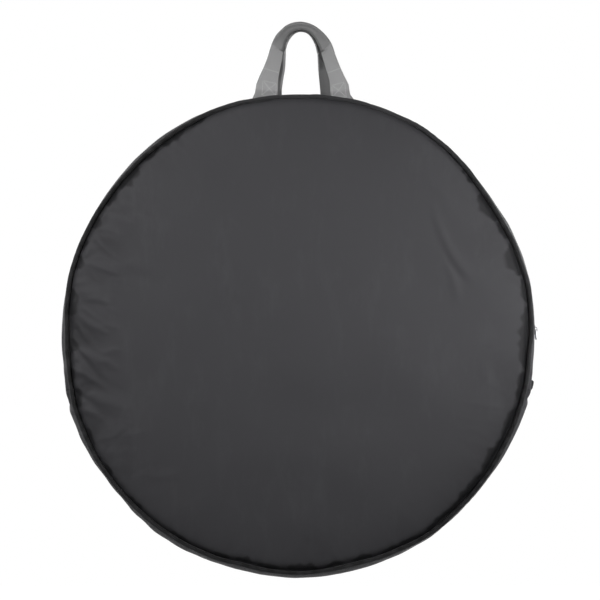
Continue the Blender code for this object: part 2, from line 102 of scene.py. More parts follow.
# The same for the soft rim's own crest below the zip, and for the zip, which dips where the seam pulls it in
crestWay = [(192, 3.4), (200, 2.9), (205, 2.4), (210, 1.5), (217, -0.4), (225, -0.4), (230, 1.5),
            (237, 3.2), (243, 1.8), (250, -0.4), (262, -0.5), (270, 0.1), (282, -0.2), (292, -0.6),
            (302, -0.6), (312, -2.4), (321, -2.7), (330, -0.8), (338, 0.8), (344, 3.0), (348, 4.0)]
zipWay = [(0, 0), (15, 0), (24, -1.4), (34, -4.2), (40, -4.0), (46, -1.6), (52, 0), (60, -0.4), (70, -3.0),
          (77, -1.8), (84, -1.8), (90, -3.2), (98, -1.8), (110, -1.8), (116, 0), (125, 0), (133, -1.0),
          (142, -3.0), (150, -3.0), (160, -2.0), (170, -2.0), (176, -1.4), (183, 0), (270, 0)]
# The strips' front edge billows out towards the zip's two ends, and the cord lies deeper where the top
# is drawn in
billowWay = [(0, 0), (90, 0), (181, 0), (187, 1.4), (191, 5.0), (196, 7.6), (230, 7.6), (310, 8.0),
             (344, 8.0), (349, 5.4), (353, 2.4), (357, 0.5)]
cordWay = [(0, 0), (60, 0), (69, -2.6), (76, -1.4), (84, -1.2), (90, -2.8), (97, -1.4), (110, -1.5),
           (116, 0), (220, 0)]


def wayCurve(way, angle):  # smooth curve through the turning points, round and round
    degrees = np.mod(np.degrees(angle), 360)
    at = np.array([p[0] for p in way], float)
    value = np.array([p[1] for p in way], float) / 1000
    at = np.concatenate([at[-2:] - 360, at, at[:2] + 360])
    value = np.concatenate([value[-2:], value, value[:2]])
    k = np.clip(np.searchsorted(at, degrees, side="right") - 1, 0, len(at) - 2)
    t = (degrees - at[k]) / (at[k + 1] - at[k])
    return value[k] + (value[k + 1] - value[k]) * t * t * (3 - 2 * t)


def seamWay(angle, side):
    if side < 0:
        return wayCurve(frontWay, angle)
    return rim["backShare"] * wayCurve(frontWay, math.pi - angle + 0.6)


def lowerShare(angle):  # 0 over the zipped arc, 1 at the very bottom
    full = math.pi / 2 - zipEndAngle
    return np.clip((full - np.abs(np.mod(angle, 2 * np.pi) - 1.5 * np.pi)) / full, 0, None)


def sag(angle):
    return lowerSag * np.sin(np.pi / 2 * lowerShare(angle)) ** rim["sagPower"]


def onRim(angle, reach, y, way=0.0):
    out = reach + sag(angle) + way
    return np.stack(np.broadcast_arrays(out * np.cos(angle), y, discZ + out * np.sin(angle)), -1)


def smoothStep(value, low, high):
    t = np.clip((value - low) / (high - low), 0, 1)
    return t * t * (3 - 2 * t)


def waves(place, seed, count, low, high):  # smooth noise from -1 to 1 round the rim, the same each run
    rng = np.random.default_rng(seed)
    total = np.zeros(np.shape(place))
    for turns in rng.integers(low, high, count):
        total = total + np.sin(turns * place + rng.uniform(0, 2 * np.pi))
    return total / math.sqrt(count / 2) / 2


# Camera, straight on to the disc as in the photograph
shot = {"distance": 3.2, "frameWidth": 0.951, "eyeX": 0.0032, "eyeZ": discZ + 0.0477, "sensor": 36.0}


def makeCamera():
    lens = bpy.data.cameras.new("camera")
    lens.sensor_width = shot["sensor"]
    lens.lens = shot["sensor"] * shot["distance"] / shot["frameWidth"]
    camera = bpy.data.objects.new("camera", lens)
    camera.location = (shot["eyeX"], -shot["distance"] - rim["seamY"], shot["eyeZ"])
    camera.rotation_euler = (math.pi / 2, 0, 0)
    bpy.context.scene.collection.objects.link(camera)
    bpy.context.scene.camera = camera
    bpy.context.scene.view_settings.view_transform = "Standard"


# Soft studio light and a white surround
studio = {"ambient": 0.02, "floorDrop": 0.44, "floorSize": 6.0, "floorColour": 0.80, "floorGlow": 0.30,
          "glowFrom": 0.45, "glowTo": 1.9}
lamps = {     # place, what it aims at, size across, power, spread in degrees
    "key": ((0.95, -0.95, -0.26), (0.22, 0, -0.38), 0.5, 2.46, 84),
    "side": ((0.95, -0.55, -0.46), (0.30, 0, -0.44), 0.4, 0.35, 60),
    "fill": ((-1.05, -1.15, -0.10), (-0.15, 0, -0.36), 0.7, 4.3, 110),
    "high": ((-0.80, -0.90, 0.35), (-0.15, 0, -0.30), 0.5, 1.44, 100),
    "back": ((0.15, 2.7, -0.30), (0, 0, -0.42), 1.2, 34, 120),
    "backLeft": ((-1.7, 1.5, 0.1), (0, 0, -0.45), 0.8, 6, 120),
    "backRight": ((1.7, 1.5, 0.1), (0, 0, -0.45), 0.8, 6, 120),
}


def plug(tree, node, socket, source):
    if isinstance(source, bpy.types.NodeSocket):
        tree.links.new(source, node.inputs[socket])
    else:
        node.inputs[socket].default_value = source


def maths(tree, operation, first, second=0.0, third=0.5, clamp=False):
    node = tree.nodes.new("ShaderNodeMath")
    node.operation = operation
    node.use_clamp = clamp
    for socket, value in enumerate((first, second, third)):
        plug(tree, node, socket, value)
    return node.outputs[0]


def vectorMaths(tree, operation, first, second=(0, 0, 0)):
    node = tree.nodes.new("ShaderNodeVectorMath")
    node.operation = operation
    plug(tree, node, 0, first)
    plug(tree, node, 1, second)
    return node.outputs


def makeStudio():
    world = bpy.data.worlds.new("surround")
    bpy.context.scene.world = world
    world.use_nodes = True
    tree = world.node_tree
    tree.nodes.clear()
    path = tree.nodes.new("ShaderNodeLightPath").outputs
    seen = maths(tree, "MAXIMUM", path["Is Camera Ray"], path["Is Glossy Ray"])
    strength = tree.nodes.new("ShaderNodeMapRange")
    plug(tree, strength, "Value", maths(tree, "MAXIMUM", seen, path["Is Transmission Ray"]))
    plug(tree, strength, "To Min", studio["ambient"])
    plug(tree, strength, "To Max", 1.0)
    sky = tree.nodes.new("ShaderNodeBackground")
    plug(tree, sky, "Color", (1, 1, 1, 1))
    plug(tree, sky, "Strength", strength.outputs["Result"])
    plug(tree, tree.nodes.new("ShaderNodeOutputWorld"), "Surface", sky.outputs["Background"])

    for name, (place, aim, size, power, spread) in lamps.items():
        light = bpy.data.lights.new("lamp_" + name, "AREA")
        light.shape, light.size, light.energy, light.spread = "DISK", size, power, math.radians(spread)
        stand = bpy.data.objects.new("lamp_" + name, light)
        stand.location = place
        stand.rotation_euler = (Vector(place) - Vector(aim)).to_track_quat("Z", "Y").to_euler()
        bpy.context.scene.collection.objects.link(stand)

    half, low = studio["floorSize"] / 2, cadLow.z - studio["floorDrop"]
    mesh = bpy.data.meshes.new("floor")
    mesh.from_pydata([(-half, -half, low), (half, -half, low), (half, half, low), (-half, half, low)],
                     [], [(0, 1, 2, 3)])
    mesh.materials.append(floorMaterial())
    floor = bpy.data.objects.new("floor", mesh)
    bpy.context.scene.collection.objects.link(floor)


def floorMaterial():     # the floor grows white away from the bag, so no edge shows
    material = bpy.data.materials.new("floor")
    material.use_nodes = True
    tree = material.node_tree
    shader = tree.nodes["Principled BSDF"]
    tint = studio["floorColour"]
    spread = tree.nodes.new("ShaderNodeMapRange")
    spread.interpolation_type = "SMOOTHSTEP"
    level = vectorMaths(tree, "MULTIPLY", tree.nodes.new("ShaderNodeTexCoord").outputs["Object"], (1, 1, 0))
    away = vectorMaths(tree, "LENGTH", level["Vector"])["Value"]
    for socket, value in (("Value", away), ("From Min", studio["glowFrom"]), ("From Max", studio["glowTo"]),
                          ("To Min", studio["floorGlow"]), ("To Max", 1.0)):
        plug(tree, spread, socket, value)
    seen = tree.nodes.new("ShaderNodeLightPath").outputs["Is Camera Ray"]
    for socket, value in (("Base Color", (tint, tint, tint, 1)), ("Roughness", 0.9),
                          ("Specular IOR Level", 0.1), ("Emission Color", (1, 1, 1, 1)),
                          ("Emission Strength", maths(tree, "MULTIPLY", seen, spread.outputs["Result"]))):
        plug(tree, shader, socket, value)
    return material


makeCamera()
makeStudio()
print("camera, light and floor")


# Effects that several materials share
def newGroup(name, inputs, outputs):
    group = bpy.data.node_groups.new(name, "ShaderNodeTree")
    for label, kind, value in inputs:
        socket = group.interface.new_socket(label, in_out="INPUT", socket_type="NodeSocket" + kind)
        if value is not None:
            socket.default_value = value
    for label, kind in outputs:
        group.interface.new_socket(label, in_out="OUTPUT", socket_type="NodeSocket" + kind)
    return group, group.nodes.new("NodeGroupInput"), group.nodes.new("NodeGroupOutput")


def noise(tree, vector, scale, detail=3.0, rough=0.55, stretch=None):
    if stretch is not None:
        mapping = tree.nodes.new("ShaderNodeMapping")
        plug(tree, mapping, "Vector", vector)
        mapping.inputs["Scale"].default_value = stretch
        vector = mapping.outputs["Vector"]
    node = tree.nodes.new("ShaderNodeTexNoise")
    plug(tree, node, "Vector", vector)
    plug(tree, node, "Scale", scale)
    node.inputs["Detail"].default_value = detail
    node.inputs["Roughness"].default_value = rough
    return node.outputs["Fac"]


def weaveGroup():  # over-and-under threads, from a flat pattern position in metres
    group, given, out = newGroup("weave", [("Cut", "Vector", None), ("Thread", "Float", 0.0005),
                                           ("Wobble", "Float", 0.2)],
                                 [("Height", "Float"), ("Gap", "Float")])
    tangle = noise(group, given.outputs["Cut"], 260.0, 2.0)
    drift = maths(group, "MULTIPLY", maths(group, "SUBTRACT", tangle, 0.5), given.outputs["Wobble"])
    parts = group.nodes.new("ShaderNodeSeparateXYZ")
    plug(group, parts, "Vector", given.outputs["Cut"])
    across = maths(group, "ADD", maths(group, "DIVIDE", parts.outputs["X"], given.outputs["Thread"]), drift)
    along = maths(group, "ADD", maths(group, "DIVIDE", parts.outputs["Y"], given.outputs["Thread"]), drift)
    ridges = []
    for value in (across, along):
        halfTurns = maths(group, "MULTIPLY", value, math.pi)
        ridges.append(maths(group, "ABSOLUTE", maths(group, "SINE", halfTurns)))
    turn = maths(group, "ADD", maths(group, "FLOOR", across), maths(group, "FLOOR", along))
    odd = maths(group, "MULTIPLY", maths(group, "FRACT", maths(group, "MULTIPLY", turn, 0.5)), 2.0)
    pick = group.nodes.new("ShaderNodeMix")
    plug(group, pick, "Factor", odd)
    plug(group, pick, "A", ridges[0])
    plug(group, pick, "B", ridges[1])
    least = maths(group, "MINIMUM", ridges[0], ridges[1])
    plug(group, out, "Height", pick.outputs["Result"])
    plug(group, out, "Gap", maths(group, "SUBTRACT", 1.0, least))
    return group


def cloudGroup():  # slow change of tone over the cloth, with faint rubbed streaks
    group, given, out = newGroup("cloud", [("Place", "Vector", None), ("Scale", "Float", 6.0)],
                                 [("Cloud", "Float"), ("Rub", "Float")])
    plug(group, out, "Cloud", noise(group, given.outputs["Place"], given.outputs["Scale"], 4.0))
    fine = noise(group, given.outputs["Place"], 34.0, 6.0, 0.7, stretch=(1.0, 1.0, 0.35))
    plug(group, out, "Rub", maths(group, "MULTIPLY", maths(group, "SUBTRACT", fine, 0.52), 3.5, clamp=True))
    return group


def ribGroup():  # ribs across a tape, with a thread every so often along each
    group, given, out = newGroup("ribs", [("Cut", "Vector", None), ("Pitch", "Float", 0.0012),
                                          ("Thread", "Float", 0.0008)],
                                 [("Height", "Float"), ("Shade", "Float")])
    parts = group.nodes.new("ShaderNodeSeparateXYZ")
    plug(group, parts, "Vector", given.outputs["Cut"])
    along = maths(group, "DIVIDE", parts.outputs["X"], given.outputs["Pitch"])
    across = maths(group, "DIVIDE", parts.outputs["Y"], given.outputs["Thread"])
    row = maths(group, "MULTIPLY", maths(group, "FLOOR", across), 0.5)
    rib = maths(group, "ABSOLUTE", maths(group, "SINE", maths(group, "MULTIPLY",
                maths(group, "ADD", along, row), math.pi)))
    thread = maths(group, "ABSOLUTE", maths(group, "SINE", maths(group, "MULTIPLY", across, math.pi)))
    height = maths(group, "MULTIPLY", maths(group, "POWER", rib, 0.6), maths(group, "POWER", thread, 0.5))
    plug(group, out, "Height", height)
    plug(group, out, "Shade", maths(group, "SUBTRACT", 1.0, height))
    return group


weave, cloud, ribs = weaveGroup(), cloudGroup(), ribGroup()


def useGroup(tree, group, **values):
    node = tree.nodes.new("ShaderNodeGroup")
    node.node_tree = group
    for label, value in values.items():
        plug(tree, node, label, value)
    return node.outputs


def bodyPlace(tree):
    return tree.nodes.new("ShaderNodeTexCoord").outputs["Object"]


def cutMap(tree):
    node = tree.nodes.new("ShaderNodeUVMap")
    node.uv_map = "cut"
    return node.outputs["UV"]


def shadeMap(tree):
    node = tree.nodes.new("ShaderNodeUVMap")
    node.uv_map = "seam"
    parts = tree.nodes.new("ShaderNodeSeparateXYZ")
    plug(tree, parts, "Vector", node.outputs["UV"])
    return parts.outputs["Y"]


def blendColour(tree, factor, first, second):
    node = tree.nodes.new("ShaderNodeMix")
    node.data_type = "RGBA"
    plug(tree, node, 0, factor)
    for socket, colour in ((6, first), (7, second)):
        plug(tree, node, socket, colour if isinstance(colour, bpy.types.NodeSocket) else (*colour, 1.0))
    return node.outputs[2]


def bump(tree, height, strength, distance, normal=None):
    node = tree.nodes.new("ShaderNodeBump")
    node.inputs["Strength"].default_value = strength
    node.inputs["Distance"].default_value = distance
    plug(tree, node, "Height", height)
    if normal is not None:
        plug(tree, node, "Normal", normal)
    return node.outputs["Normal"]


def startMaterial(name, settings):
    material = bpy.data.materials.new(name)
    material.use_nodes = True
    tree = material.node_tree
    shader = tree.nodes["Principled BSDF"]
    shader.inputs["Specular IOR Level"].default_value = settings.get("specular", 0.5)
    shader.inputs["Sheen Weight"].default_value = settings.get("sheen", 0.0)
    shader.inputs["Sheen Roughness"].default_value = settings.get("sheenRoughness", 0.5)
    return material, tree, shader


wovenLook = {"wobble": 0.25, "cloudScale": 5.0, "rub": 0.5, "gapDepth": 0.5, "bump": 0.35}     # unless given
nylonLook = {"colour": (0.047, 0.0465, 0.0503), "worn": (0.067, 0.067, 0.0715), "gap": (0.028, 0.028, 0.031),
             "roughness": 0.48, "specular": 0.12, "sheen": 0.08, "sheenRoughness": 0.35, "thread": 0.00052,
             "seamShade": 0.95, "pit": (0.0035, 0.0035, 0.004)}


def wovenMaterial(name, look):
    look = dict(wovenLook, **look)
    material, tree, shader = startMaterial(name, look)
    cloth = useGroup(tree, weave, Cut=cutMap(tree), Thread=look["thread"], Wobble=look["wobble"])
    mood = useGroup(tree, cloud, Place=bodyPlace(tree), Scale=look["cloudScale"])
    lit = maths(tree, "MULTIPLY_ADD", mood["Cloud"], 0.9, 0.05)
    rubbed = maths(tree, "MULTIPLY", mood["Rub"], look["rub"])
    tone = blendColour(tree, rubbed, look["colour"], look["worn"])
    # painted shade: the hollows between the threads are darkened towards the gap tone
    deep = maths(tree, "MULTIPLY", maths(tree, "POWER", cloth["Gap"], 3.0), look["gapDepth"])
    tone = blendColour(tree, deep, tone, look["gap"])
    if "seamShade" in look:     # painted shade: as the seam map gives it on the panels and the piping, the cloth is darkened towards a near-black shade tone where shade falls in and beside the seam's groove, in scallops and in folds
        sunk = maths(tree, "MULTIPLY", shadeMap(tree), look["seamShade"])
        tone = blendColour(tree, sunk, tone, look["pit"])
    plug(tree, shader, "Base Color", tone)
    plug(tree, shader, "Roughness", maths(tree, "MULTIPLY_ADD", lit, 0.10, look["roughness"] - 0.05))
    plug(tree, shader, "Normal", bump(tree, cloth["Height"], look["bump"], look["thread"] * 0.35))
    return material


nylon = wovenMaterial("shell_nylon", nylonLook)
liningLook = {"colour": (0.155, 0.155, 0.165), "worn": (0.20, 0.20, 0.21), "gap": (0.07, 0.07, 0.075),
              "roughness": 0.68, "specular": 0.25, "sheen": 0.15, "thread": 0.0007, "bump": 0.5}
lining = wovenMaterial("lining", liningLook)
trimLook = {"colour": (0.034, 0.034, 0.036), "worn": (0.058, 0.058, 0.061), "gap": (0.016, 0.016, 0.017),
            "roughness": 0.62, "specular": 0.12, "sheen": 0.10, "thread": 0.0006, "bump": 0.6}
trim = wovenMaterial("trim", trimLook)
# the piping takes painted shade on the side of its cord that faces the groove
cordNylon = wovenMaterial("piping", dict(trimLook, seamShade=0.92, pit=(0.003, 0.003, 0.0032)))
foamLook = {"colour": (0.10, 0.10, 0.105), "worn": (0.12, 0.12, 0.125), "gap": (0.05, 0.05, 0.052),
            "roughness": 0.9, "specular": 0.1, "thread": 0.0015, "bump": 0.4}
foam = wovenMaterial("foam", foamLook)


ribbedLook = {"cloudScale": 30.0, "rub": 0.6, "gapDepth": 0.7}


def ribbedMaterial(name, look):
    look = dict(ribbedLook, **look)
    material, tree, shader = startMaterial(name, look)
    tape = useGroup(tree, ribs, Cut=cutMap(tree), Pitch=look["pitch"], Thread=look["thread"])
    mood = useGroup(tree, cloud, Place=bodyPlace(tree), Scale=look["cloudScale"])
    rubbed = maths(tree, "MULTIPLY", mood["Rub"], look["rub"])
    tone = blendColour(tree, rubbed, look["colour"], look["worn"])
    if "inside" in look:     # the webbing's back is darker, and the same map paints shade and highlights over the handles
        tone = blendColour(tree, shadeMap(tree), tone, look["inside"])
    deep = maths(tree, "MULTIPLY", maths(tree, "POWER", tape["Shade"], 2.0), look["gapDepth"])
    plug(tree, shader, "Base Color", blendColour(tree, deep, tone, look["gap"]))
    rough = maths(tree, "MULTIPLY_ADD", mood["Cloud"], 0.12, look["roughness"] - 0.06)
    plug(tree, shader, "Roughness", rough)
    plug(tree, shader, "Normal", bump(tree, tape["Height"], look["bump"], look["pitch"] * 0.25))
    return material


webbingLook = {"colour": (0.37, 0.37, 0.372), "worn": (0.44, 0.44, 0.443), "gap": (0.18, 0.18, 0.182),
               "inside": (0.024, 0.024, 0.0245), "roughness": 0.72, "specular": 0.3, "sheen": 0.2,
               "pitch": 0.0021, "thread": 0.0011, "bump": 0.7}
webbing = ribbedMaterial("webbing", webbingLook)
tapeLook = {"colour": (0.026, 0.026, 0.028), "worn": (0.045, 0.045, 0.048), "gap": (0.012, 0.012, 0.013),
            "roughness": 0.7, "specular": 0.25, "sheen": 0.1, "pitch": 0.0010, "thread": 0.0006, "bump": 0.5}
zipTape = ribbedMaterial("zip_tape", tapeLook)


def threadMaterial(name, colour):
    material, tree, shader = startMaterial(name, {"specular": 0.4, "sheen": 0.2})
    spot = bodyPlace(tree)
    twist = noise(tree, spot, 2600.0, 2.0)
    dark = tuple(c * 0.6 for c in colour)
    plug(tree, shader, "Base Color", blendColour(tree, twist, dark, colour))
    plug(tree, shader, "Roughness", maths(tree, "MULTIPLY_ADD", twist, 0.2, 0.5))
    plug(tree, shader, "Normal", bump(tree, twist, 0.4, 0.0001))
    return material


def metalMaterial(name, look):
    material, tree, shader = startMaterial(name, look)
    spot = bodyPlace(tree)
    grain = noise(tree, spot, 900.0, 5.0, 0.7, stretch=(1.0, 1.0, 0.25))
    wear = noise(tree, spot, 180.0, 4.0)
    tone = blendColour(tree, maths(tree, "MULTIPLY", wear, look["wear"]), look["colour"], look["worn"])
    plug(tree, shader, "Base Color", tone)
    shader.inputs["Metallic"].default_value = look["metallic"]
    plug(tree, shader, "Roughness", maths(tree, "MULTIPLY_ADD", grain, 0.2, look["roughness"] - 0.1))
    plug(tree, shader, "Normal", bump(tree, grain, 0.25, 0.00008))
    return material


threadDark = threadMaterial("thread_dark", (0.045, 0.045, 0.048))
threadGrey = threadMaterial("thread_grey", (0.72, 0.72, 0.73))
coilLook = {"colour": (0.022, 0.022, 0.024), "worn": (0.04, 0.04, 0.043), "wear": 0.5,
            "metallic": 0.0, "roughness": 0.42, "specular": 0.5}
coilNylon = metalMaterial("zip_coil", coilLook)
sliderLook = {"colour": (0.085, 0.085, 0.09), "worn": (0.20, 0.20, 0.205), "wear": 0.5,
              "metallic": 1.0, "roughness": 0.38}
sliderMetal = metalMaterial("slider_metal", sliderLook)
pullLook = {"colour": (0.36, 0.36, 0.37), "worn": (0.46, 0.46, 0.47), "wear": 0.6,
            "metallic": 1.0, "roughness": 0.34}
pullMetal = metalMaterial("pull_metal", pullLook)
print("materials")


# Mesh building
def meshPiece(name, points, faces, corners, material):
    mesh = bpy.data.meshes.new(name)
    mesh.from_pydata(np.asarray(points, float).reshape(-1, 3).tolist(), [], faces)
    layer = mesh.uv_layers.new(name="cut")
    layer.uv.foreach_set("vector", np.asarray(corners, np.float32).reshape(-1))
    mesh.shade_smooth()
    mesh.materials.append(material)
    piece = bpy.data.objects.new(name, mesh)
    bpy.context.scene.collection.objects.link(piece)
    return piece


def gridPiece(name, points, cuts, material, closeRows=False, closeColumns=False):
    # points is rows x columns x 3. cuts has one more row or column where the grid closes on itself.
    rows, columns = points.shape[:2]
    r, c = np.meshgrid(np.arange(rows if closeRows else rows - 1),
                       np.arange(columns if closeColumns else columns - 1), indexing="ij")
    r, c = r.ravel(), c.ravel()
    corners = [(r, c), (r, c + 1), (r + 1, c + 1), (r + 1, c)]
    faces = np.stack([(a % rows) * columns + b % columns for a, b in corners], 1)
    flat = np.stack([cuts[a, b] for a, b in corners], 1)
    return meshPiece(name, points, faces.tolist(), flat, material)


def mapShade(piece, inside, shade):     # a second map that carries one painted shade value for each point
    layer = piece.data.uv_layers.new(name="seam")
    order = np.zeros(len(piece.data.loops), np.int32)
    piece.data.loops.foreach_get("vertex_index", order)
    pairs = np.stack([inside[order], np.clip(shade, 0, 1)[order]], 1)
    layer.uv.foreach_set("vector", pairs.astype(np.float32).ravel())


def tidyNormals(piece, capped=False):
    form = bmesh.new()
    form.from_mesh(piece.data)
    if capped:
        bmesh.ops.holes_fill(form, edges=[edge for edge in form.edges if edge.is_boundary], sides=0)
    bmesh.ops.recalc_face_normals(form, faces=form.faces)
    form.to_mesh(piece.data)
    form.free()
    return piece


def gridCuts(points, closeRows, closeColumns):
    # flat pattern lengths along and across a grid of points, in metres
    rows = np.concatenate([points, points[:1]]) if closeRows else points
    middle = rows[:, rows.shape[1] // 2]
    along = np.concatenate([[0], np.cumsum(np.linalg.norm(np.diff(middle, axis=0), axis=1))])
    full = np.concatenate([rows, rows[:, :1]], 1) if closeColumns else rows
    across = np.cumsum(np.linalg.norm(np.diff(full, axis=1), axis=2), 1)
    across = np.concatenate([across[:, :1] * 0, across], 1)
    return np.stack(np.broadcast_arrays(along[:, None], across), 2)


def sweepPiece(name, points, material, closeRows=False, closeColumns=True, capped=None):
    cuts = gridCuts(points, closeRows, closeColumns)
    piece = gridPiece(name, points, cuts, material, closeRows, closeColumns)
    return tidyNormals(piece, (closeColumns and not closeRows) if capped is None else capped)


def arcAngles(start, end, step):
    return np.linspace(start, end, int(math.ceil((end - start) * seamRadius / step)) + 1)


def wholeRim(count):
    return 2 * math.pi * np.arange(count) / count


zipArc = (-zipEndAngle, math.pi + zipEndAngle)
lowerArc = (math.pi + zipEndAngle, 2 * math.pi - zipEndAngle)


def boxSection(wide, deep, corner, perSide=5, perCorner=3):
    # points round a rectangle with round corners, centred on 0, 0
    points = []
    a, b = wide / 2 - corner, deep / 2 - corner
    for cx, cy, turn in ((a, b, 0.0), (-a, b, 0.5), (-a, -b, 1.0), (a, -b, 1.5)):
        for k in range(perCorner):
            t = (turn + 0.5 * k / (perCorner - 1)) * math.pi
            points.append((cx + corner * math.cos(t), cy + corner * math.sin(t)))
    full, count = [], len(points)
    for k in range(count):
        p, q = points[k], points[(k + 1) % count]
        parts = perSide if math.hypot(q[0] - p[0], q[1] - p[1]) > 4 * corner else 1
        for j in range(parts):
            full.append((p[0] + (q[0] - p[0]) * j / parts, p[1] + (q[1] - p[1]) * j / parts))
    return np.array(full)


def settle(piece, slot, body, *nodes):
    if body == "fold":
        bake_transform(piece)
    else:
        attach(piece, body)
    if nodes:
        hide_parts(*nodes)


def bothNodes(name, side):  # the front's pieces are two nodes each, split at the fold
    return (name, name + "_lower") if side < 0 else (name,)


sides = (("front", -1, "fold", "front_flap"), ("back", 1, "bag_body", "bag_body"))

# Stitches, each a short raised thread
stitch = {"pitch": 0.0034, "length": 0.0025, "radius": 0.00036, "sink": 0.0001,
          "along": (-0.5, -0.25, 0.25, 0.5), "swell": (0.45, 1.0, 1.0, 0.45),
          "rise": (-0.6, 0.35, 0.35, -0.6)}


def stitchRows(name, rows, material, pitch=None):
    # rows is a list of (points, outward directions), closely spaced along each seam
    pitch = pitch or stitch["pitch"]
    points, faces = [], []
    for line, out in rows:
        steps = np.concatenate([[0], np.cumsum(np.linalg.norm(np.diff(line, axis=0), axis=1))])
        for k in range(int(steps[-1] / pitch)):
            reach = stitch["length"] * np.array(stitch["along"]) * pitch / stitch["pitch"]
            places = (k + 0.5) * pitch + reach
            centre = np.stack([np.interp(places, steps, line[:, i]) for i in range(3)], 1)
            up = np.stack([np.interp(places, steps, out[:, i]) for i in range(3)], 1)
            along = centre[-1] - centre[0]
            aside = np.cross(along, up[1])
            aside /= np.linalg.norm(aside)
            start = len(points)
            for j in range(4):
                r = stitch["radius"] * stitch["swell"][j]
                base = centre[j] + up[j] * (stitch["radius"] * stitch["rise"][j] - stitch["sink"])
                for turn in (0, math.pi / 2, math.pi, 1.5 * math.pi):
                    points.append(base + aside * r * math.cos(turn) + up[j] * r * math.sin(turn))
            for j in range(3):
                for turn in range(4):
                    a, b = start + 4 * j + turn, start + 4 * j + (turn + 1) % 4
                    faces.append((a, b, b + 4, a + 4))
            faces.append((start + 3, start + 2, start + 1, start))
            faces.append((start + 12, start + 13, start + 14, start + 15))
    total = sum(len(face) for face in faces)
    places = np.array([points[i] for face in faces for i in face])
    piece = meshPiece(name, points, faces, places[:, [0, 2]].reshape(total, 2), material)
    return tidyNormals(piece)


# The padded panels
panelCut = {"sectors": 768, "rimStep": 0.0034, "rimDepth": 0.075, "midStep": 0.0085, "edgePower": 5.0,
            "flatShare": 0.5, "allowance": 0.010, "tuck": 0.0030, "tuckReach": 0.0055,
            "hemStep": 0.0014, "hemDepth": 0.018, "scallop": 0.0007, "swell": 0.00016, "lowest": 0.0319,
            "soft": 0.0005}

# Creases and soft ridges of the front, in millimetres: from and to, right of and above the disc's centre,
# half width, rise, and 1 where it starts at the seam
frontCreases = [(-308, 133, -194, 84, 10, 2.4, 1), (-315, 108, -200, 54, 10, -2.6, 1),
                (-330, 48, -251, 19, 10, 1.8, 1), (-340, -8, -242, -86, 9, 3.6, 1),
                (-346, -41, -240, -112, 8, -4.6, 1), (-343, -67, -258, -146, 9, 3.8, 1),
                (-337, -105, -270, -172, 8, -3.0, 1), (-321, -130, -262, -190, 9, 2.0, 1),
                (-308, 155, -264, 133, 6, -1.8, 1), (-322, 84, -266, 64, 7, 1.4, 1),
                (-336, 22, -280, -6, 7, -2.2, 1), (50, 339, 112, 222, 9, 1.5, 1),
                (37, 317, 85, 222, 10, -0.8, 0), (212, 212, 285, 70, 8, 1.7, 0),
                (227, 149, 275, 67, 5, -1.6, 0), (234, 108, 251, 35, 6, 1.5, 0),
                (205, 184, 231, 108, 8, -0.9, 0), (167, 269, 259, 168, 10, 1.0, 0),
                (300, -48, 302, -92, 9, 1.2, 0), (-242, -222, -172, -216, 8, 1.1, 0),
                (-61, -87, 193, -119, 34, -1.7, 0), (-156, -174, 208, -168, 38, 1.6, 0),
                (2, -314, 37, -330, 8, -1.0, 0), (-188, 285, -267, 158, 30, 1.0, 0),
                (-60, 200, -190, 250, 26, -0.8, 0), (120, 40, 190, -70, 30, 0.8, 0),
                (-150, 60, -60, -40, 30, -0.8, 0)]
# How far the seam pulls the panel in beside it, in millimetres by degrees, and how fine the puckers there are
frontPull = [(0, 3.2), (9, 1.6), (18, 3.6), (25, 1.8), (32, 3.0), (40, 1.0), (60, 0.5), (100, 0.8),
             (118, 2.2), (150, 2.6), (165, 1.2), (182, 2.6), (200, 1.0), (225, 0.8), (245, 1.6),
             (255, 3.4), (270, 2.4), (280, 3.6), (292, 1.4), (304, 3.4), (318, 2.6), (330, 3.6),
             (345, 1.8), (353, 2.6)]
frontPuckers = [(0, 0.8), (30, 0.7), (60, 0.2), (100, 0.3), (120, 0.9), (150, 0.9), (190, 1.0), (225, 0.4),
                (260, 0.6), (290, 0.4), (300, 0.3), (340, 0.35)]


# Scallops where the cloth is drawn in at the seam: degrees, half length in degrees, millimetres inward
frontScallops = [(42, 2.2, 9), (33, 4.2, 20), (26, 2.5, 12), (18, 4.2, 24), (10, 3, 13), (-2, 8, 19),
                 (-14, 4, 14), (-24, 5, 15), (-33, 5, 18), (-43, 6, 14), (-53, 5, 11), (-62, 4, 8),
                 (251, 3, 8), (257, 2.5, 11), (263, 3, 9), (271, 4, 13), (279, 3, 9), (286, 3, 10),
                 (293, 3, 7), (116, 3, 7), (123, 3.5, 11), (130, 2.5, 9), (138, 3.5, 17), (145, 2.5, 12),
                 (152, 1.8, 14), (158, 1.6, 8), (163, 1.8, 15), (173, 3.4, 19), (184, 2.4, 17),
                 (191, 1.8, 9), (197, 2.6, 15), (207, 3, 9), (216, 4, 7), (227, 4, 6), (240, 3, 7),
                 (52, 3, 4), (66, 4, 3), (98, 4, 4)]


# Painted shade in the groove and on the cloth beside it, by degrees: at the seam, and more widely
frontGroove = [(0, 0.75), (12, 0.45), (25, 0.7), (33, 0.9), (45, 0.6), (55, 0.25), (66, 0.1), (80, 0.15),
               (95, 0.2), (105, 0.3), (113, 0.8), (120, 1.0), (140, 1.0), (150, 0.9), (165, 0.6),
               (178, 0.9), (200, 0.95), (214, 0.7), (230, 0.75), (245, 0.9), (258, 1.0), (275, 0.9),
               (290, 0.85), (300, 0.95), (320, 1.0), (336, 1.0), (350, 0.7)]
frontBand = [(0, 0.10), (20, 0.15), (45, 0.05), (90, 0.0), (110, 0.05), (125, 0.35), (150, 0.25),
             (165, 0.15), (180, 0.35), (200, 0.3), (215, 0.25), (235, 0.35), (255, 0.5), (270, 0.6),
             (285, 0.5), (298, 0.65), (312, 0.95), (330, 1.0), (342, 0.7), (352, 0.3)]


def shadeCurve(way, angle, side):
    return 1000 * wayCurve(way, angle if side < 0 else math.pi - angle + 0.5)


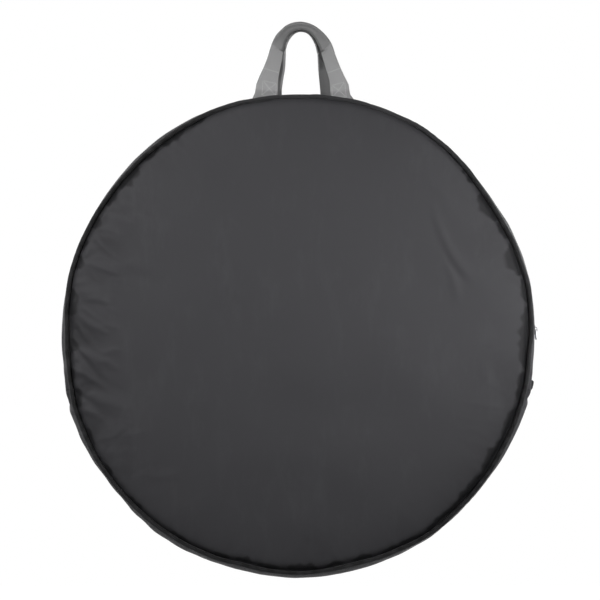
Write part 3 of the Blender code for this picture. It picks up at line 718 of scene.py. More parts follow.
def grooveShade(angle, side):
    ragged = 0.85 + 0.3 * waves(angle, 381 + side, 12, 40, 160)
    return np.clip(shadeCurve(frontGroove, angle, side) * ragged, 0, 1)


def scallopDepth(angle, scallops, seed):
    degrees = np.degrees(angle) + 0.5 * waves(angle, seed, 12, 60, 160)
    depth = np.full(np.shape(angle), 2.4)
    for middle, half, inward in scallops:
        apart = np.mod(degrees - middle + 180, 360) - 180
        depth = np.maximum(depth, inward * np.sqrt(np.clip(1 - (apart / half) ** 2, 0, 1)))
    return depth / 1000 * (1 + 0.22 * waves(angle, seed + 1, 12, 50, 150))


def creaseRelief(x, z, creases):
    total = np.zeros(np.shape(x))
    for x0, z0, x1, z1, wide, rise, rooted in creases:
        start, way = np.array([x0, z0]) / 1000, np.array([x1 - x0, z1 - z0]) / 1000
        long = math.hypot(*way)
        way /= long
        bow = 0.08 * long * (1 if (x0 + z1) % 2 else -1)
        t = ((x - start[0]) * way[0] + (z - start[1]) * way[1]) / long
        aside = (x - start[0]) * way[1] - (z - start[1]) * way[0] + bow * 4 * t * (1 - t)
        if rooted:
            fade = np.clip(1 - t, 0, 1) ** 1.3 * smoothStep(t, -0.35, 0.06)
        else:
            fade = np.clip(4 * t * (1 - t), 0, 1) ** 1.4
        spread = wide / 1000 * (0.7 + 0.6 * np.clip(t, 0, 1))
        total += rise / 1000 * fade * np.exp(-(aside / spread) ** 2)
    return total


def panelRelief(share, angle, side):
    x, z = seamRadius * share * np.cos(angle), seamRadius * share * np.sin(angle)
    inside = (1 - share) * seamRadius
    turned = angle if side < 0 else math.pi - angle + 0.5
    pull = wayCurve(frontPull, turned) * (0.7 + 0.5 * waves(angle, 311 + side, 10, 24, 60))
    reach = 0.0065 + 0.0020 * waves(angle, 321 + side, 9, 8, 30)
    relief = -pull * np.exp(-(inside / reach) ** 2)
    depth = scallopDepth(turned, frontScallops, 361 + side)
    relief -= panelCut["scallop"] * depth / 0.012 * (1 - smoothStep(inside, depth * 0.2, depth * 1.1))
    pucker = (waves(angle + 0.9 * inside, 331 + side, 16, 62, 170)
              + 0.7 * waves(angle - 1.3 * inside, 341 + side, 12, 30, 70))
    relief += wayCurve(frontPuckers, turned) * pucker * np.exp(-inside / 0.016) * smoothStep(inside, 0, 0.005)
    rng = np.random.default_rng(351 + side)
    for wave in range(16):     # low wide waves over the whole panel
        heading, phase = rng.uniform(0, math.pi), rng.uniform(0, 2 * math.pi)
        length = rng.uniform(0.09, 0.26)
        along = x * math.cos(heading) + z * math.sin(heading)
        relief += panelCut["swell"] * np.sin(2 * math.pi / length * along + phase)
    return relief + panelCreases(share, angle, side)


def panelCreases(share, angle, side):
    creases = frontCreases
    if side > 0:     # the back has its own, fewer folds
        creases = [(-z0, x0 * 0.98, -z1, x1, wide * 1.2, rise * 0.4, rooted)
                   for x0, z0, x1, z1, wide, rise, rooted in frontCreases[::2]]
    x, z = seamRadius * share * np.cos(angle), seamRadius * share * np.sin(angle)
    return creaseRelief(x, z, creases) * smoothStep((1 - share) * seamRadius, 0, 0.006)


def discRings(reach, cut):     # rings of points from the edge to the middle, with fewer points further in
    rings, out, sectors = [], reach, cut["sectors"]
    while out > cut["midStep"]:
        into = np.clip((reach - cut["rimDepth"] - out) / reach * 2.0, 0, 1)
        step = cut["rimStep"] + (cut["midStep"] - cut["rimStep"]) * into
        if out > reach - cut.get("hemDepth", 0.0):
            step = min(step, cut["hemStep"])
        if 2 * math.pi * out / sectors < step * 0.62 and sectors > 12:
            sectors //= 2
        rings.append((out / reach, sectors))
        out -= step
    return rings


def discFaces(rings):
    starts, faces, total = [], [], 0
    for share, sectors in rings:
        starts.append(total)
        total += sectors
    for index in range(len(rings) - 1):
        outerCount, innerCount = rings[index][1], rings[index + 1][1]
        a, b = starts[index], starts[index + 1]
        for k in range(innerCount):
            after = (k + 1) % innerCount
            if outerCount == innerCount:
                faces.append((a + k, a + after, b + after, b + k))
            else:
                faces.append((a + 2 * k, a + 2 * k + 1, b + k))
                faces.append((a + 2 * k + 1, a + (2 * k + 2) % outerCount, b + after, b + k))
    last, count = starts[-1], rings[-1][1]
    faces.extend((last + k, last + (k + 1) % count, total) for k in range(count))
    share = np.concatenate([np.full(n, s) for s, n in rings] + [np.zeros(1)])
    angle = np.concatenate([2 * math.pi * np.arange(n) / n for s, n in rings] + [np.zeros(1)])
    return faces, share, angle


def discPoints(share, angle, reach, y):
    side = -1 if np.mean(y) < 0 else 1
    points = onRim(angle, reach, y, seamWay(angle, side) * smoothStep(share, 0.35, 1))
    points[:, 0] *= share
    points[:, 2] = discZ + (points[:, 2] - discZ) * share
    return points


def discPiece(name, side, reach, cut, height, material):
    # height(share, angle) is how far each point stands from the bag's middle plane
    faces, share, angle = discFaces(discRings(reach, cut))
    if side > 0:
        faces = [face[::-1] for face in faces]
    points = discPoints(share, angle, reach, side * height(share, angle))
    corners = np.concatenate([points[list(face)][:, [0, 2]] for face in faces])
    return meshPiece(name, points, faces, corners, material), share, angle


def slabPiece(name, faces, outer, inner, edge, material):     # two faces like one another, joined at the edge
    count = len(outer)
    faces = list(faces) + [tuple(i + count for i in face[::-1]) for face in faces]
    faces += [(k, count + k, count + (k + 1) % edge, (k + 1) % edge) for k in range(edge)]
    points = np.concatenate([outer, inner])
    corners = np.concatenate([points[list(face)][:, [0, 2]] for face in faces])
    return tidyNormals(meshPiece(name, points, faces, corners, material))


def padRise(share):
    flat = panelCut["flatShare"]
    t = np.clip((share - flat) / (1 - flat), 0, 1)
    return (crownY - rim["seamY"]) * (1 - t ** panelCut["edgePower"]) ** 0.5


def panelHeight(share, angle, side):     # how far the panel stands from the bag's middle plane
    inside = (1 - share) * seamRadius
    tuck = panelCut["tuck"] * np.exp(-(inside / panelCut["tuckReach"]) ** 2)
    free = rim["seamY"] + padRise(share) - tuck + panelRelief(share, angle, side)
    free = free + drapeAt(side, inside, angle)
    soft = panelCut["soft"]
    return panelCut["lowest"] + soft * np.logaddexp(0, (free - panelCut["lowest"]) / soft)


# The cloth near each seam is cut a little too long, and a short cloth simulation lets it pucker
drape = {"sectors": 480, "step": 0.0046, "depth": 0.110, "frames": 20, "extra": 0.05, "pressure": 4.0,
         "cap": 0.0045, "held": 0.04, "mass": 0.15, "tension": 12.0, "shear": 3.0, "bending": 0.02,
         "quality": 6, "slowest": 9, "gain": 1.3, "slackReach": 0.035}
draped = {}


# How much of the puckering each stretch of the front seam shows, by degrees
frontSlack = [(0, 0.22), (30, 0.30), (60, 0.05), (100, 0.06), (120, 0.30), (145, 0.80), (165, 0.9),
              (190, 1.0), (212, 0.75), (228, 0.25), (260, 0.22), (300, 0.16), (340, 0.20)]


def drapeAt(side, inside, angle):     # the cloth's own rise, smoothly between the points of the simulation
    if side not in draped:
        return 0.0
    rings, sectors = draped[side].shape
    row, column = inside / drape["step"], np.mod(angle, 2 * math.pi) / (2 * math.pi) * sectors
    total = 0.0
    for i in range(4):
        for k in range(4):
            atRow, atColumn = np.floor(row).astype(int) + i - 1, np.floor(column).astype(int) + k - 1
            weight = splineWeight(row - np.floor(row), i) * splineWeight(column - np.floor(column), k)
            total = total + weight * draped[side][np.clip(atRow, 0, rings - 1), np.mod(atColumn, sectors)]
    return total


def splineWeight(t, index):
    return ((1 - t) ** 3, 3 * t ** 3 - 6 * t ** 2 + 4,
            -3 * t ** 3 + 3 * t ** 2 + 3 * t + 1, t ** 3)[index] / 6


def drapeCloth(side):
    rings = int(drape["depth"] / drape["step"]) + 1
    inside, angle = np.meshgrid(np.arange(rings) * drape["step"],
                                2 * math.pi * np.arange(drape["sectors"]) / drape["sectors"], indexing="ij")
    share = 1 - inside.ravel() / seamRadius
    before = discPoints(share, angle.ravel(), seamRadius, side * panelHeight(share, angle.ravel(), side))
    mesh = bpy.data.meshes.new("draped_cloth")
    faces, around = [], drape["sectors"]
    for start in range(0, (rings - 1) * around, around):
        for k in range(around):
            corner, beside = start + k, start + (k + 1) % around
            faces.append((corner, corner + around, beside + around, beside)[::-side])
    mesh.from_pydata(before.tolist(), [], faces)
    cloth = bpy.data.objects.new("draped_cloth", mesh)
    bpy.context.scene.collection.objects.link(cloth)
    held, loose = cloth.vertex_groups.new(name="held"), cloth.vertex_groups.new(name="loose")
    shown = np.clip(shadeCurve(frontSlack, angle, side), 0, 1)
    slack = np.exp(-inside / drape["slackReach"]) * (0.3 + 0.7 * shown)
    for k in range(len(before)):
        onEdge = k < drape["sectors"] or k >= (rings - 1) * drape["sectors"]
        held.add([k], 1.0 if onEdge else drape["held"], "REPLACE")
        loose.add([k], float(slack.ravel()[k]), "REPLACE")
    modifier = cloth.modifiers.new("Cloth", "CLOTH")
    settings = modifier.settings
    settings.quality, settings.mass = drape["quality"], drape["mass"]
    settings.tension_stiffness = settings.compression_stiffness = drape["tension"]
    settings.shear_stiffness, settings.bending_stiffness = drape["shear"], drape["bending"]
    settings.vertex_group_mass, settings.vertex_group_shrink = "held", "loose"
    settings.shrink_min, settings.shrink_max = 0.0, -drape["extra"]
    settings.use_pressure, settings.uniform_pressure_force = True, drape["pressure"]
    settings.effector_weights.gravity = 0
    for moment in range(1, drape["frames"] + 1):
        bpy.context.scene.frame_set(moment)
    shaped = cloth.evaluated_get(bpy.context.evaluated_depsgraph_get())
    after = np.empty(3 * len(before))
    shaped.data.vertices.foreach_get("co", after)
    bpy.context.scene.frame_set(1)
    bpy.data.objects.remove(cloth)
    bpy.data.meshes.remove(mesh)
    moved = (after.reshape(-1, 3) - before)[:, 1].reshape(rings, -1) * side
    spectrum = np.fft.rfft(moved, axis=1)
    spectrum[:, :drape["slowest"]] = 0     # the even swell comes off, and the puckers stay
    moved = drape["gain"] * np.fft.irfft(spectrum, around, axis=1)
    fade = smoothStep(inside, 0, 0.004) * (1 - smoothStep(inside, 0.05, 0.105))
    print("cloth", side, "moved", round(1000 * moved.min(), 2), "to", round(1000 * moved.max(), 2), "mm")
    return drape["cap"] * np.tanh(moved / drape["cap"]) * fade * shown


# Painted shade on the cloth: in the scallops of the front and of the back, in the folds, and beside the seam
seamShade = {"front": 0.76, "back": 0.36, "valley": 0.45, "band": 0.50, "wideBand": 0.38}


def buildPanel(place, side, body):
    piece, share, angle = discPiece(place + "_panel", side, seamRadius, panelCut,
                                    lambda s, a: panelHeight(s, a, side), nylon)
    inside = (1 - share) * seamRadius
    # painted shade: scallops, the valleys of puckers and creases, the seam's groove and a wider band beside
    # it are darkened through the seam map
    depth = scallopDepth(angle if side < 0 else math.pi - angle + 0.5, frontScallops, 361 + side)
    pocket = seamShade[place] * (1 - smoothStep(inside, depth * 0.66, depth * 1.05))
    pocket *= smoothStep(depth, 0.0030, 0.0070)
    dip = -drapeAt(side, inside, angle) - 0.6 * panelCreases(share, angle, side)
    valley = seamShade["valley"] * np.clip(dip / 0.0015, 0, 1) * np.exp(-inside / 0.07)
    groove = grooveShade(angle, side)
    wide = shadeCurve(frontBand, angle, side)
    ragged = 1 + 0.25 * waves(angle, 391 + side, 12, 40, 150)
    seamDark = groove * np.exp(-(inside / (0.0026 * ragged + 0.0030 * wide)) ** 2)
    band = wide * (seamShade["band"] * np.exp(-(inside / (0.0085 * ragged)) ** 2)
                   + seamShade["wideBand"] * np.exp(-inside / 0.034))
    shade = 1 - (1 - pocket) * (1 - seamDark) * (1 - band) * (1 - valley)
    mapShade(piece, inside, shade)
    settle(piece, "shell_nylon", body, *bothNodes(place + "_shell", side))


padCut = {"sectors": 384, "rimStep": 0.005, "midStep": 0.005, "rimDepth": 0.06, "under": 0.0012,
          "rim": 0.0045, "thin": 0.0004, "near": 0.0035, "foldGap": 0.0022, "foldReach": 0.020}


def buildPadding(place, side, body):
    # a lens of foam that fills the room between the panel and the lining
    reach = seamRadius - padCut["rim"]
    faces, share, angle = discFaces(discRings(reach, padCut))
    under = np.full(len(share), 1.0)      # the lowest of the panel round each point
    for out in (-1, 0, 1):
        for along in (-1, 0, 1):
            beside = np.clip(share * reach / seamRadius + out * padCut["near"] / seamRadius, 0, 1)
            turn = angle + along * padCut["near"] / seamRadius / np.maximum(share, 0.1)
            under = np.minimum(under, panelHeight(beside, turn, side) - padCut["under"])
    height = discZ + share * reach * np.sin(angle)
    split = np.exp(-((height - foldZ) / padCut["foldReach"]) ** 4) * (side < 0)
    split = split * smoothStep(1 - share, 0.02, 0.08)
    low = liningY + padCut["thin"] + padCut["foldGap"] * split      # thinned where the front folds down
    high = np.maximum(under - 0.5 * padCut["foldGap"] * split, low + padCut["thin"])
    outer = discPoints(share, angle, reach, side * high)
    inner = discPoints(share, angle, reach, side * low)
    piece = slabPiece(place + "_padding", faces, outer, inner, padCut["sectors"], foam)
    settle(piece, "foam", body, *bothNodes(place + "_foam", side))


liningCut = {"sectors": 384, "rimStep": 0.005, "midStep": 0.005, "rimDepth": 0.06, "slack": 0.0007}


def buildLining(place, side, body):
    def height(share, angle):
        flat = 1 - share ** 10
        soft = waves(angle + 2.2 * share, 31 + side, 9, 3, 26) * smoothStep(share, 0.25, 0.7) * flat
        return liningCut["slack"] * (1.2 + soft) * flat - liningY

    piece = discPiece(place + "_lining_cloth", -side, seamRadius, liningCut, height, lining)[0]
    settle(piece, "lining", body, *bothNodes(place + "_lining", side))


patchCut = {"reach": 0.070, "sectors": 96, "rimStep": 0.004, "midStep": 0.012, "rimDepth": 0.02,
            "raise": 0.0011, "stitchIn": 0.0035, "stitchSteps": 361}


def buildHubPatch(place, side, rider):
    reach = patchCut["reach"]
    face = liningY - patchCut["raise"]
    faces, share, angle = discFaces(discRings(reach, patchCut))

    def disc(radius, y):
        return np.stack([radius * share * np.cos(angle), side * y, discZ + radius * share * np.sin(angle)], 1)

    dip = 0.0003 * np.exp(-((share - 1 + patchCut["stitchIn"] / reach) / 0.02) ** 2) + 0.0005 * share ** 24
    top = disc(reach, face + dip)
    under = disc(reach, np.full(len(share), liningY - 0.0002))
    piece = slabPiece(place + "_hub_patch_cloth", faces, top, under, patchCut["sectors"], trim)
    settle(piece, "hub_patch", rider, place + "_hub_patch")
    turn = np.linspace(0, 2 * math.pi, patchCut["stitchSteps"])
    ring = reach - patchCut["stitchIn"]
    line = np.stack([ring * np.cos(turn), np.full(len(turn), side * face), discZ + ring * np.sin(turn)], 1)
    up = np.tile([0.0, -side, 0.0], (len(turn), 1))
    thread = stitchRows(place + "_hub_patch_stitches", [(line, up)], threadDark)
    settle(thread, "binding", rider)


# Cords, tapes and strips round the rim
pipingCut = {"sides": 14, "count": 960, "wrinkle": 0.00016}


def buildPiping(place, side, body):
    angles = wholeRim(pipingCut["count"])
    turn = 2 * math.pi * np.arange(pipingCut["sides"]) / pipingCut["sides"]
    a, t = np.meshgrid(angles, turn, indexing="ij")
    fold = waves(a * 1.0 + 0.012 * np.sin(t), 71 + side, 14, 90, 240) * (0.5 + 0.5 * np.cos(t - 0.9 * side))
    radius = pipingRadius - pipingCut["wrinkle"] * (0.6 - fold)
    wander = 0.00035 * waves(a, 77 + side, 8, 8, 40)
    deeper = wayCurve(cordWay, a if side < 0 else math.pi - a)
    y = side * (pipingY + 0.4 * deeper) + radius * np.sin(t)
    points = onRim(a, pipingReach + wander + deeper + radius * np.cos(t), y, seamWay(a, side))
    piece = sweepPiece(place + "_piping_cord", points, cordNylon, closeRows=True)
    facing = np.cos(t - side * 0.70 * math.pi)     # 1 in the groove beside the panel, where the cord gets painted shade
    shade = smoothStep(facing, 0.0, 0.75) * grooveShade(a, side)
    mapShade(piece, np.zeros(shade.size), shade.ravel())
    settle(piece, "piping", body, *bothNodes(place + "_piping", side))


bindingCut = {"wide": 0.008, "deep": 0.0020, "reach": 0.3623, "y": 0.0292, "sway": 0.0004, "count": 420,
              "stitchIn": 0.0022, "stitchSteps": 1441}


def buildBinding(place, side, body):
    angles = wholeRim(bindingCut["count"])
    section = boxSection(bindingCut["wide"], bindingCut["deep"], 0.0007, 6)
    a = angles[:, None]
    sway = bindingCut["sway"] * waves(a, 91 + side, 9, 10, 60)
    points = onRim(a, bindingCut["reach"] + section[:, 0][None] + sway,
                   side * (bindingCut["y"] + section[:, 1][None] + 0.25 * sway), seamWay(a, side))
    piece = sweepPiece(place + "_binding_tape", points, zipTape, closeRows=True)
    settle(piece, "binding", body, *bothNodes(place + "_seam_binding", side))
    dense = np.linspace(0, 2 * math.pi, bindingCut["stitchSteps"])
    line = onRim(dense, bindingCut["reach"] - bindingCut["stitchIn"],
                 side * (bindingCut["y"] - bindingCut["deep"] / 2), seamWay(dense, side))
    up = np.tile([0.0, -side, 0.0], (len(dense), 1))
    thread = stitchRows(place + "_binding_stitches", [(line, up)], threadDark)
    settle(thread, "binding", body)


zipStrip = {"thickness": 0.0011, "ripple": 0.00035, "stitchRows": (0.0112, 0.0152), "foldUnder": 0.017,
            "step": 0.0042, "stitchStep": 0.0009, "stitchEnd": 0.004,
            "billowAt": (0.0132, 0.0175, 0.0205, 0.0245, 0.0275, 0.0290, gussetEdgeY),
            "billow": (0, 0.3, 0.8, 1, 0.8, 0.5, 0)}


def stripBillow(angle, y):
    across = np.interp(np.abs(y), zipStrip["billowAt"], zipStrip["billow"])
    return wayCurve(billowWay, angle) * across


def buildZipGusset(place, side, rider):
    # the strip turns under at its hem and comes back beneath itself
    angles = arcAngles(*zipArc, zipStrip["step"])
    hem, edge = hemY, gussetEdgeY
    top, base, thick = zipReach, gussetReach, zipStrip["thickness"]
    profile = [(edge, base - 0.0001), (0.0290, base), (0.0272, base + 0.0002), (0.0245, base + 0.0012),
               (0.0220, base + 0.0024), (0.0195, top - 0.0008), (0.0175, top - 0.0001), (0.0160, top),
               (0.0150, top - 0.0002), (0.0132, top), (0.0112, top - 0.0002), (hem + 0.0012, top),
               (hem + 0.0003, top - 0.0002), (hem, top - thick / 2), (hem + 0.0003, top - thick + 0.0001),
               (hem + 0.0012, top - thick), (0.0132, top - thick), (zipStrip["foldUnder"], top - thick),
               (0.0182, top - thick + 0.0001), (0.0220, base + 0.0017), (0.0272, base - 0.0005),
               (edge, base - 0.0007)]
    profile = np.array(profile)
    a = angles[:, None]
    between = np.clip((profile[:, 0] - hem) / (edge - hem), 0, 1)
    sway = waves(a, 111 + side, 10, 12, 70) * np.sin(math.pi * between)[None]
    near = smoothStep(between, 0.3, 0.95)[None]
    way = seamWay(a, side) * near + wayCurve(zipWay, a) * (1 - near) + stripBillow(a, profile[:, 0][None])
    points = onRim(a, profile[:, 1][None] + zipStrip["ripple"] * sway, side * profile[:, 0][None], way)
    piece = sweepPiece(place + "_zip_strip", points, nylon)
    settle(piece, "shell_nylon", rider, place + "_zip_gusset")
    end = zipStrip["stitchEnd"]
    dense = arcAngles(zipArc[0] + end, zipArc[1] - end, zipStrip["stitchStep"])
    rows = []
    for y in zipStrip["stitchRows"]:
        line = onRim(dense, top - 0.0002, side * y, wayCurve(zipWay, dense))
        up = np.stack([np.cos(dense), 0 * dense, np.sin(dense)], 1)
        rows.append((line, up))
    thread = stitchRows(place + "_zip_strip_stitches", rows, threadDark)
    settle(thread, "shell_nylon", rider)


tapeCut = {"from": 0.0020, "to": 0.016, "low": zipReach - 0.0021, "high": zipReach - 0.0015,
           "corner": 0.00025, "across": 10}


def buildZipTape(place, side, rider):
    angles = arcAngles(*zipArc, zipStrip["step"])
    mid, half = (tapeCut["from"] + tapeCut["to"]) / 2, (tapeCut["to"] - tapeCut["from"]) / 2
    section = boxSection(2 * half, tapeCut["high"] - tapeCut["low"], tapeCut["corner"], tapeCut["across"])
    reach = (tapeCut["high"] + tapeCut["low"]) / 2
    points = onRim(angles[:, None], reach + section[:, 1][None], side * (mid + section[:, 0][None]),
                   wayCurve(zipWay, angles)[:, None])
    piece = sweepPiece(place + "_zip_tape_woven", points, zipTape)
    settle(piece, "zip_tape", rider, place + "_zip_tape")


coil = {"pitch": 0.0015, "wire": 0.00034, "points": 9, "sides": 5, "head": -0.0004, "tail": 0.0032,
        "low": zipReach - 0.0009, "high": zipReach + 0.0004}


def buildZipTeeth(place, side, rider):
    # a flattened spring of nylon line sewn along each tape; the two lie half a pitch apart
    length = seamRadius * (zipArc[1] - zipArc[0]) - 0.004
    turns = int(length / coil["pitch"])
    t = np.arange(turns * coil["points"]) / coil["points"]
    angle = zipArc[0] + 0.002 / seamRadius + (t + (0.5 if side > 0 else 0.0)) * coil["pitch"] / seamRadius
    phase = 2 * math.pi * t

    def squared(value, power):
        return np.sign(value) * np.abs(value) ** power

    across = squared(np.cos(phase), 0.7)
    rise = squared(np.sin(phase), 0.8)
    y = (coil["head"] + coil["tail"]) / 2 - across * (coil["tail"] - coil["head"]) / 2
    reach = (coil["low"] + coil["high"]) / 2 + rise * (coil["high"] - coil["low"]) / 2
    bite = 0.28 * coil["pitch"] / seamRadius * np.sin(2 * phase)
    line = onRim(angle + bite, reach, side * y, wayCurve(zipWay, angle))
    along = np.gradient(line, axis=0)
    along /= np.linalg.norm(along, axis=1)[:, None]
    out = np.stack([np.cos(angle), 0 * angle, np.sin(angle)], 1)
    aside = np.cross(along, out)
    aside /= np.linalg.norm(aside, axis=1)[:, None]
    up = np.cross(aside, along)
    turn = 2 * math.pi * np.arange(coil["sides"]) / coil["sides"]
    wire = np.where(y < 0.0002, 1.25, 1.0) * coil["wire"]   # the head of each tooth is pressed wider
    points = line[:, None] + wire[:, None, None] * (np.cos(turn)[None, :, None] * aside[:, None]
                                                   + np.sin(turn)[None, :, None] * up[:, None])
    piece = sweepPiece(place + "_zip_coil", points, coilNylon)
    settle(piece, "zip_teeth", rider, place + "_zip_teeth")


# The soft rim below the zip
lowerCut = {"bulge": 0.011, "bulgeStart": 0.9, "fabric": 0.0009, "foam": 0.0024, "foamIn": 0.0024,
            "edgeY": gussetEdgeY, "innerY": 0.0298, "pucker": 0.0011, "rows": 30, "innerRows": 12,
            "leftRamp": 0.09, "rightRamp": 0.06, "step": 0.0022, "foamStep": 0.008, "liningStep": 0.004,
            "lining": 0.0005, "liningIn": 0.0056, "allowance": 0.02}


def lowerBulge(angle, y):
    side = lowerCut["bulgeStart"] + (1 - lowerCut["bulgeStart"]) * np.clip(lowerShare(angle) * 13, 0, 1)
    near = np.clip(np.abs(y) / lowerCut["edgeY"], 0, 1)
    swell = (lowerCut["bulge"] * side + wayCurve(crestWay, angle)) * np.cos(np.pi / 2 * near)
    grown = (smoothStep(angle - lowerArc[0], 0, lowerCut["leftRamp"])
             * smoothStep(lowerArc[1] - angle, 0, lowerCut["rightRamp"]))
    strips = zipRise * (1 - smoothStep(np.abs(y), 0.0175, 0.0280)) + stripBillow(angle, y)
    return strips * (1 - grown) + swell * grown     # at its two ends the rim is as the strips end there


def lowerWay(angle, y):  # the rim follows the front seam at one edge and the back seam at the other
    along = np.clip((y / lowerCut["edgeY"] + 1) / 2, 0, 1)
    front, back = seamWay(angle, -1), seamWay(angle, 1)
    return front * (1 - along) ** 3 + back * along ** 3


def lowerFolds(angle, y):
    near = np.abs(y) / lowerCut["edgeY"]
    pinch = waves(angle + 0.02 * np.sign(y), 131, 16, 60, 190) * near ** 1.5 * (1 - near ** 12) * 0.8
    cross = waves(angle + 0.35 * y / 0.03 * 0.05, 132, 10, 14, 60) * (1 - near ** 6) * 0.6
    return lowerCut["pucker"] * (pinch + cross)


def rimLayer(name, a, y, outer, thick, material):
    way = lowerWay(a, y)
    faces = [onRim(a, outer, y, way), onRim(a, outer - thick, y, way)[:, ::-1]]
    return sweepPiece(name, np.concatenate(faces, 1), material)


def buildLowerRim():
    a = arcAngles(*lowerArc, lowerCut["step"])[:, None]
    y = np.linspace(-lowerCut["edgeY"], lowerCut["edgeY"], lowerCut["rows"])[None]
    ends = np.clip(np.minimum(a - lowerArc[0], lowerArc[1] - a) / 0.05, 0, 1)
    cloth = rimLayer("lower_gusset_cloth", a, y, gussetReach + lowerBulge(a, y) + lowerFolds(a, y) * ends,
                     lowerCut["fabric"], nylon)
    settle(cloth, "shell_nylon", "bag_body", "lower_gusset")

    a = arcAngles(*lowerArc, lowerCut["foamStep"])[:, None]
    y = np.linspace(-lowerCut["innerY"], lowerCut["innerY"], lowerCut["innerRows"])[None]
    pad = rimLayer("lower_gusset_padding", a, y, gussetReach + lowerBulge(a, y) - lowerCut["foamIn"],
                   lowerCut["foam"], foam)
    settle(pad, "foam", "bag_body", "lower_gusset_foam")

    a = arcAngles(*lowerArc, lowerCut["liningStep"])[:, None]
    under = gussetReach + lowerBulge(a, y) - lowerCut["liningIn"]
    inside = rimLayer("lower_gusset_lining_cloth", a, y, under + 0.0003 * waves(a, 141, 12, 20, 90),
                      lowerCut["lining"], lining)
    settle(inside, "lining", "bag_body", "lower_gusset_lining")


# The folded tabs over the zip's two ends
tab = {"length": 0.0160, "width": 0.022}


def buildEndTab(place, side):
    low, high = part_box(f"zip_end_tab_{place}")
    reachLow = zipReach + 0.0010
    reachHigh = math.hypot(high.x if side > 0 else -low.x, (low.z + high.z) / 2 - discZ)
    height = reachHigh - reachLow
    spin = math.asin(((low.z + high.z) / 2 - discZ) / (reachLow + height * 0.4))
    out = np.array([side * math.cos(spin), 0, math.sin(spin)])
    along = np.array([-side * math.sin(spin), 0, math.cos(spin)])
    base = np.array([0, 0, discZ]) + out * (reachLow - 0.0006)
    rows = []
    for v in np.linspace(-1, 1, 31):
        edge = max(0.0, 1 - abs(v) ** 9) ** (1 / 3)
        swell = 1 + 0.05 * math.cos(2.2 * v + side) - 0.04 * math.sin(5 * v)
        ring = []
        for t in np.linspace(0, math.pi, 33):
            up = math.sin(t) ** 0.36 * height * (0.86 + 0.14 * edge) * swell / 1.06
            back = math.copysign(abs(math.cos(t)) ** 0.5, math.cos(t)) * tab["length"] / 2
            back *= 0.93 + 0.07 * edge
            ring.append(base + out * up + along * back + np.array([0, v * tab["width"] / 2, 0]))
        rows.append(ring)
    piece = sweepPiece(f"zip_end_tab_{place}_cloth", np.array(rows), trim)
    settle(piece, "end_tab", "bag_body", f"zip_end_tab_{place}")
    rows = []
    for share in (-0.55, 0.55):     # a row of stitches near each end holds the fold down
        here = base + out * (height * 0.80 * (1 - abs(share) ** 3) + 0.0004)
        here = here + along * share * tab["length"] / 2
        line = [here + np.array([0, v * tab["width"] / 2, 0]) for v in np.linspace(-0.86, 0.86, 30)]
        rows.append((np.array(line), np.tile(out, (30, 1))))
    thread = stitchRows(f"zip_end_tab_{place}_stitches", rows, threadDark)
    settle(thread, "end_tab", "bag_body")


# Zip slider and its wire pull
slider = {"length": 0.016, "width": 0.012, "plate": 0.0012, "outer": zipReach + 0.0025,
          "under": zipReach - 0.0030, "bailWidth": 0.0026, "bailThick": 0.0012, "bailLength": 0.0090,
          "bailTop": zipReach + 0.0063, "postWidth": 0.0010, "postLength": 0.0034}
pull = {"reach": zipReach + 0.0038, "wire": 0.0011, "length": 0.0150, "width": 0.0085, "corner": 0.0022}


def sliderOutline(count=48):
    # seen from outside: broad shoulders where the open teeth enter, tapering to the tail
    turn = 2 * math.pi * np.arange(count) / count
    z = np.sign(np.sin(turn)) * np.abs(np.sin(turn)) ** 0.55 * slider["length"] / 2
    wide = 1 - 0.22 * smoothStep(z, -0.001, slider["length"] / 2)
    y = np.sign(np.cos(turn)) * np.abs(np.cos(turn)) ** 0.55 * slider["width"] / 2 * wide
    return y, z


def plateSections(top):
    # rings from the middle of the outer face to the edge, round it and back
    y, z = sliderOutline()
    thick = slider["plate"]
    under = top - thick
    layers = [(0.05, top), (0.55, top), (0.86, top - 0.0001), (0.96, top - 0.00035), (1.0, top - 0.0007),
              (0.99, under - 0.0001), (0.93, under), (0.55, under), (0.05, under)]
    rings = []
    for share, reach in layers:
        bow = (np.sqrt(reach ** 2 - (z * share) ** 2) - reach)
        rings.append(np.stack([reach + bow, y * share, discZ + z * share], 1))
    return np.array(rings)


def joinPieces(name, pieces):
    form = bmesh.new()
    for piece in pieces:
        form.from_mesh(piece.data)
    mesh = bpy.data.meshes.new(name)
    form.to_mesh(mesh)
    form.free()
    mesh.materials.append(pieces[0].data.materials[0])
    mesh.shade_smooth()
    joined = bpy.data.objects.new(name, mesh)
    bpy.context.scene.collection.objects.link(joined)
    for piece in pieces:
        bpy.data.objects.remove(piece)
    return joined


def tubeAlong(name, line, side, wide, deep, material, closed=False, sides=10):
    # a rounded bar along a line in the slider's own plane; side is the direction of its width
    along = np.gradient(line, axis=0) if not closed else np.roll(line, -1, 0) - np.roll(line, 1, 0)
    along /= np.linalg.norm(along, axis=1)[:, None]
    up = np.cross(np.tile(side, (len(line), 1)), along)
    up /= np.linalg.norm(up, axis=1)[:, None]
    turn = 2 * math.pi * (np.arange(sides) + 0.5) / sides
    c, s = np.cos(turn), np.sin(turn)
    c, s = np.sign(c) * np.abs(c) ** 0.7, np.sign(s) * np.abs(s) ** 0.7
    points = line[:, None] + c[None, :, None] * np.asarray(side) * wide / 2
    points = points + s[None, :, None] * up[:, None] * deep / 2
    return sweepPiece(name, points, material, closeRows=closed)


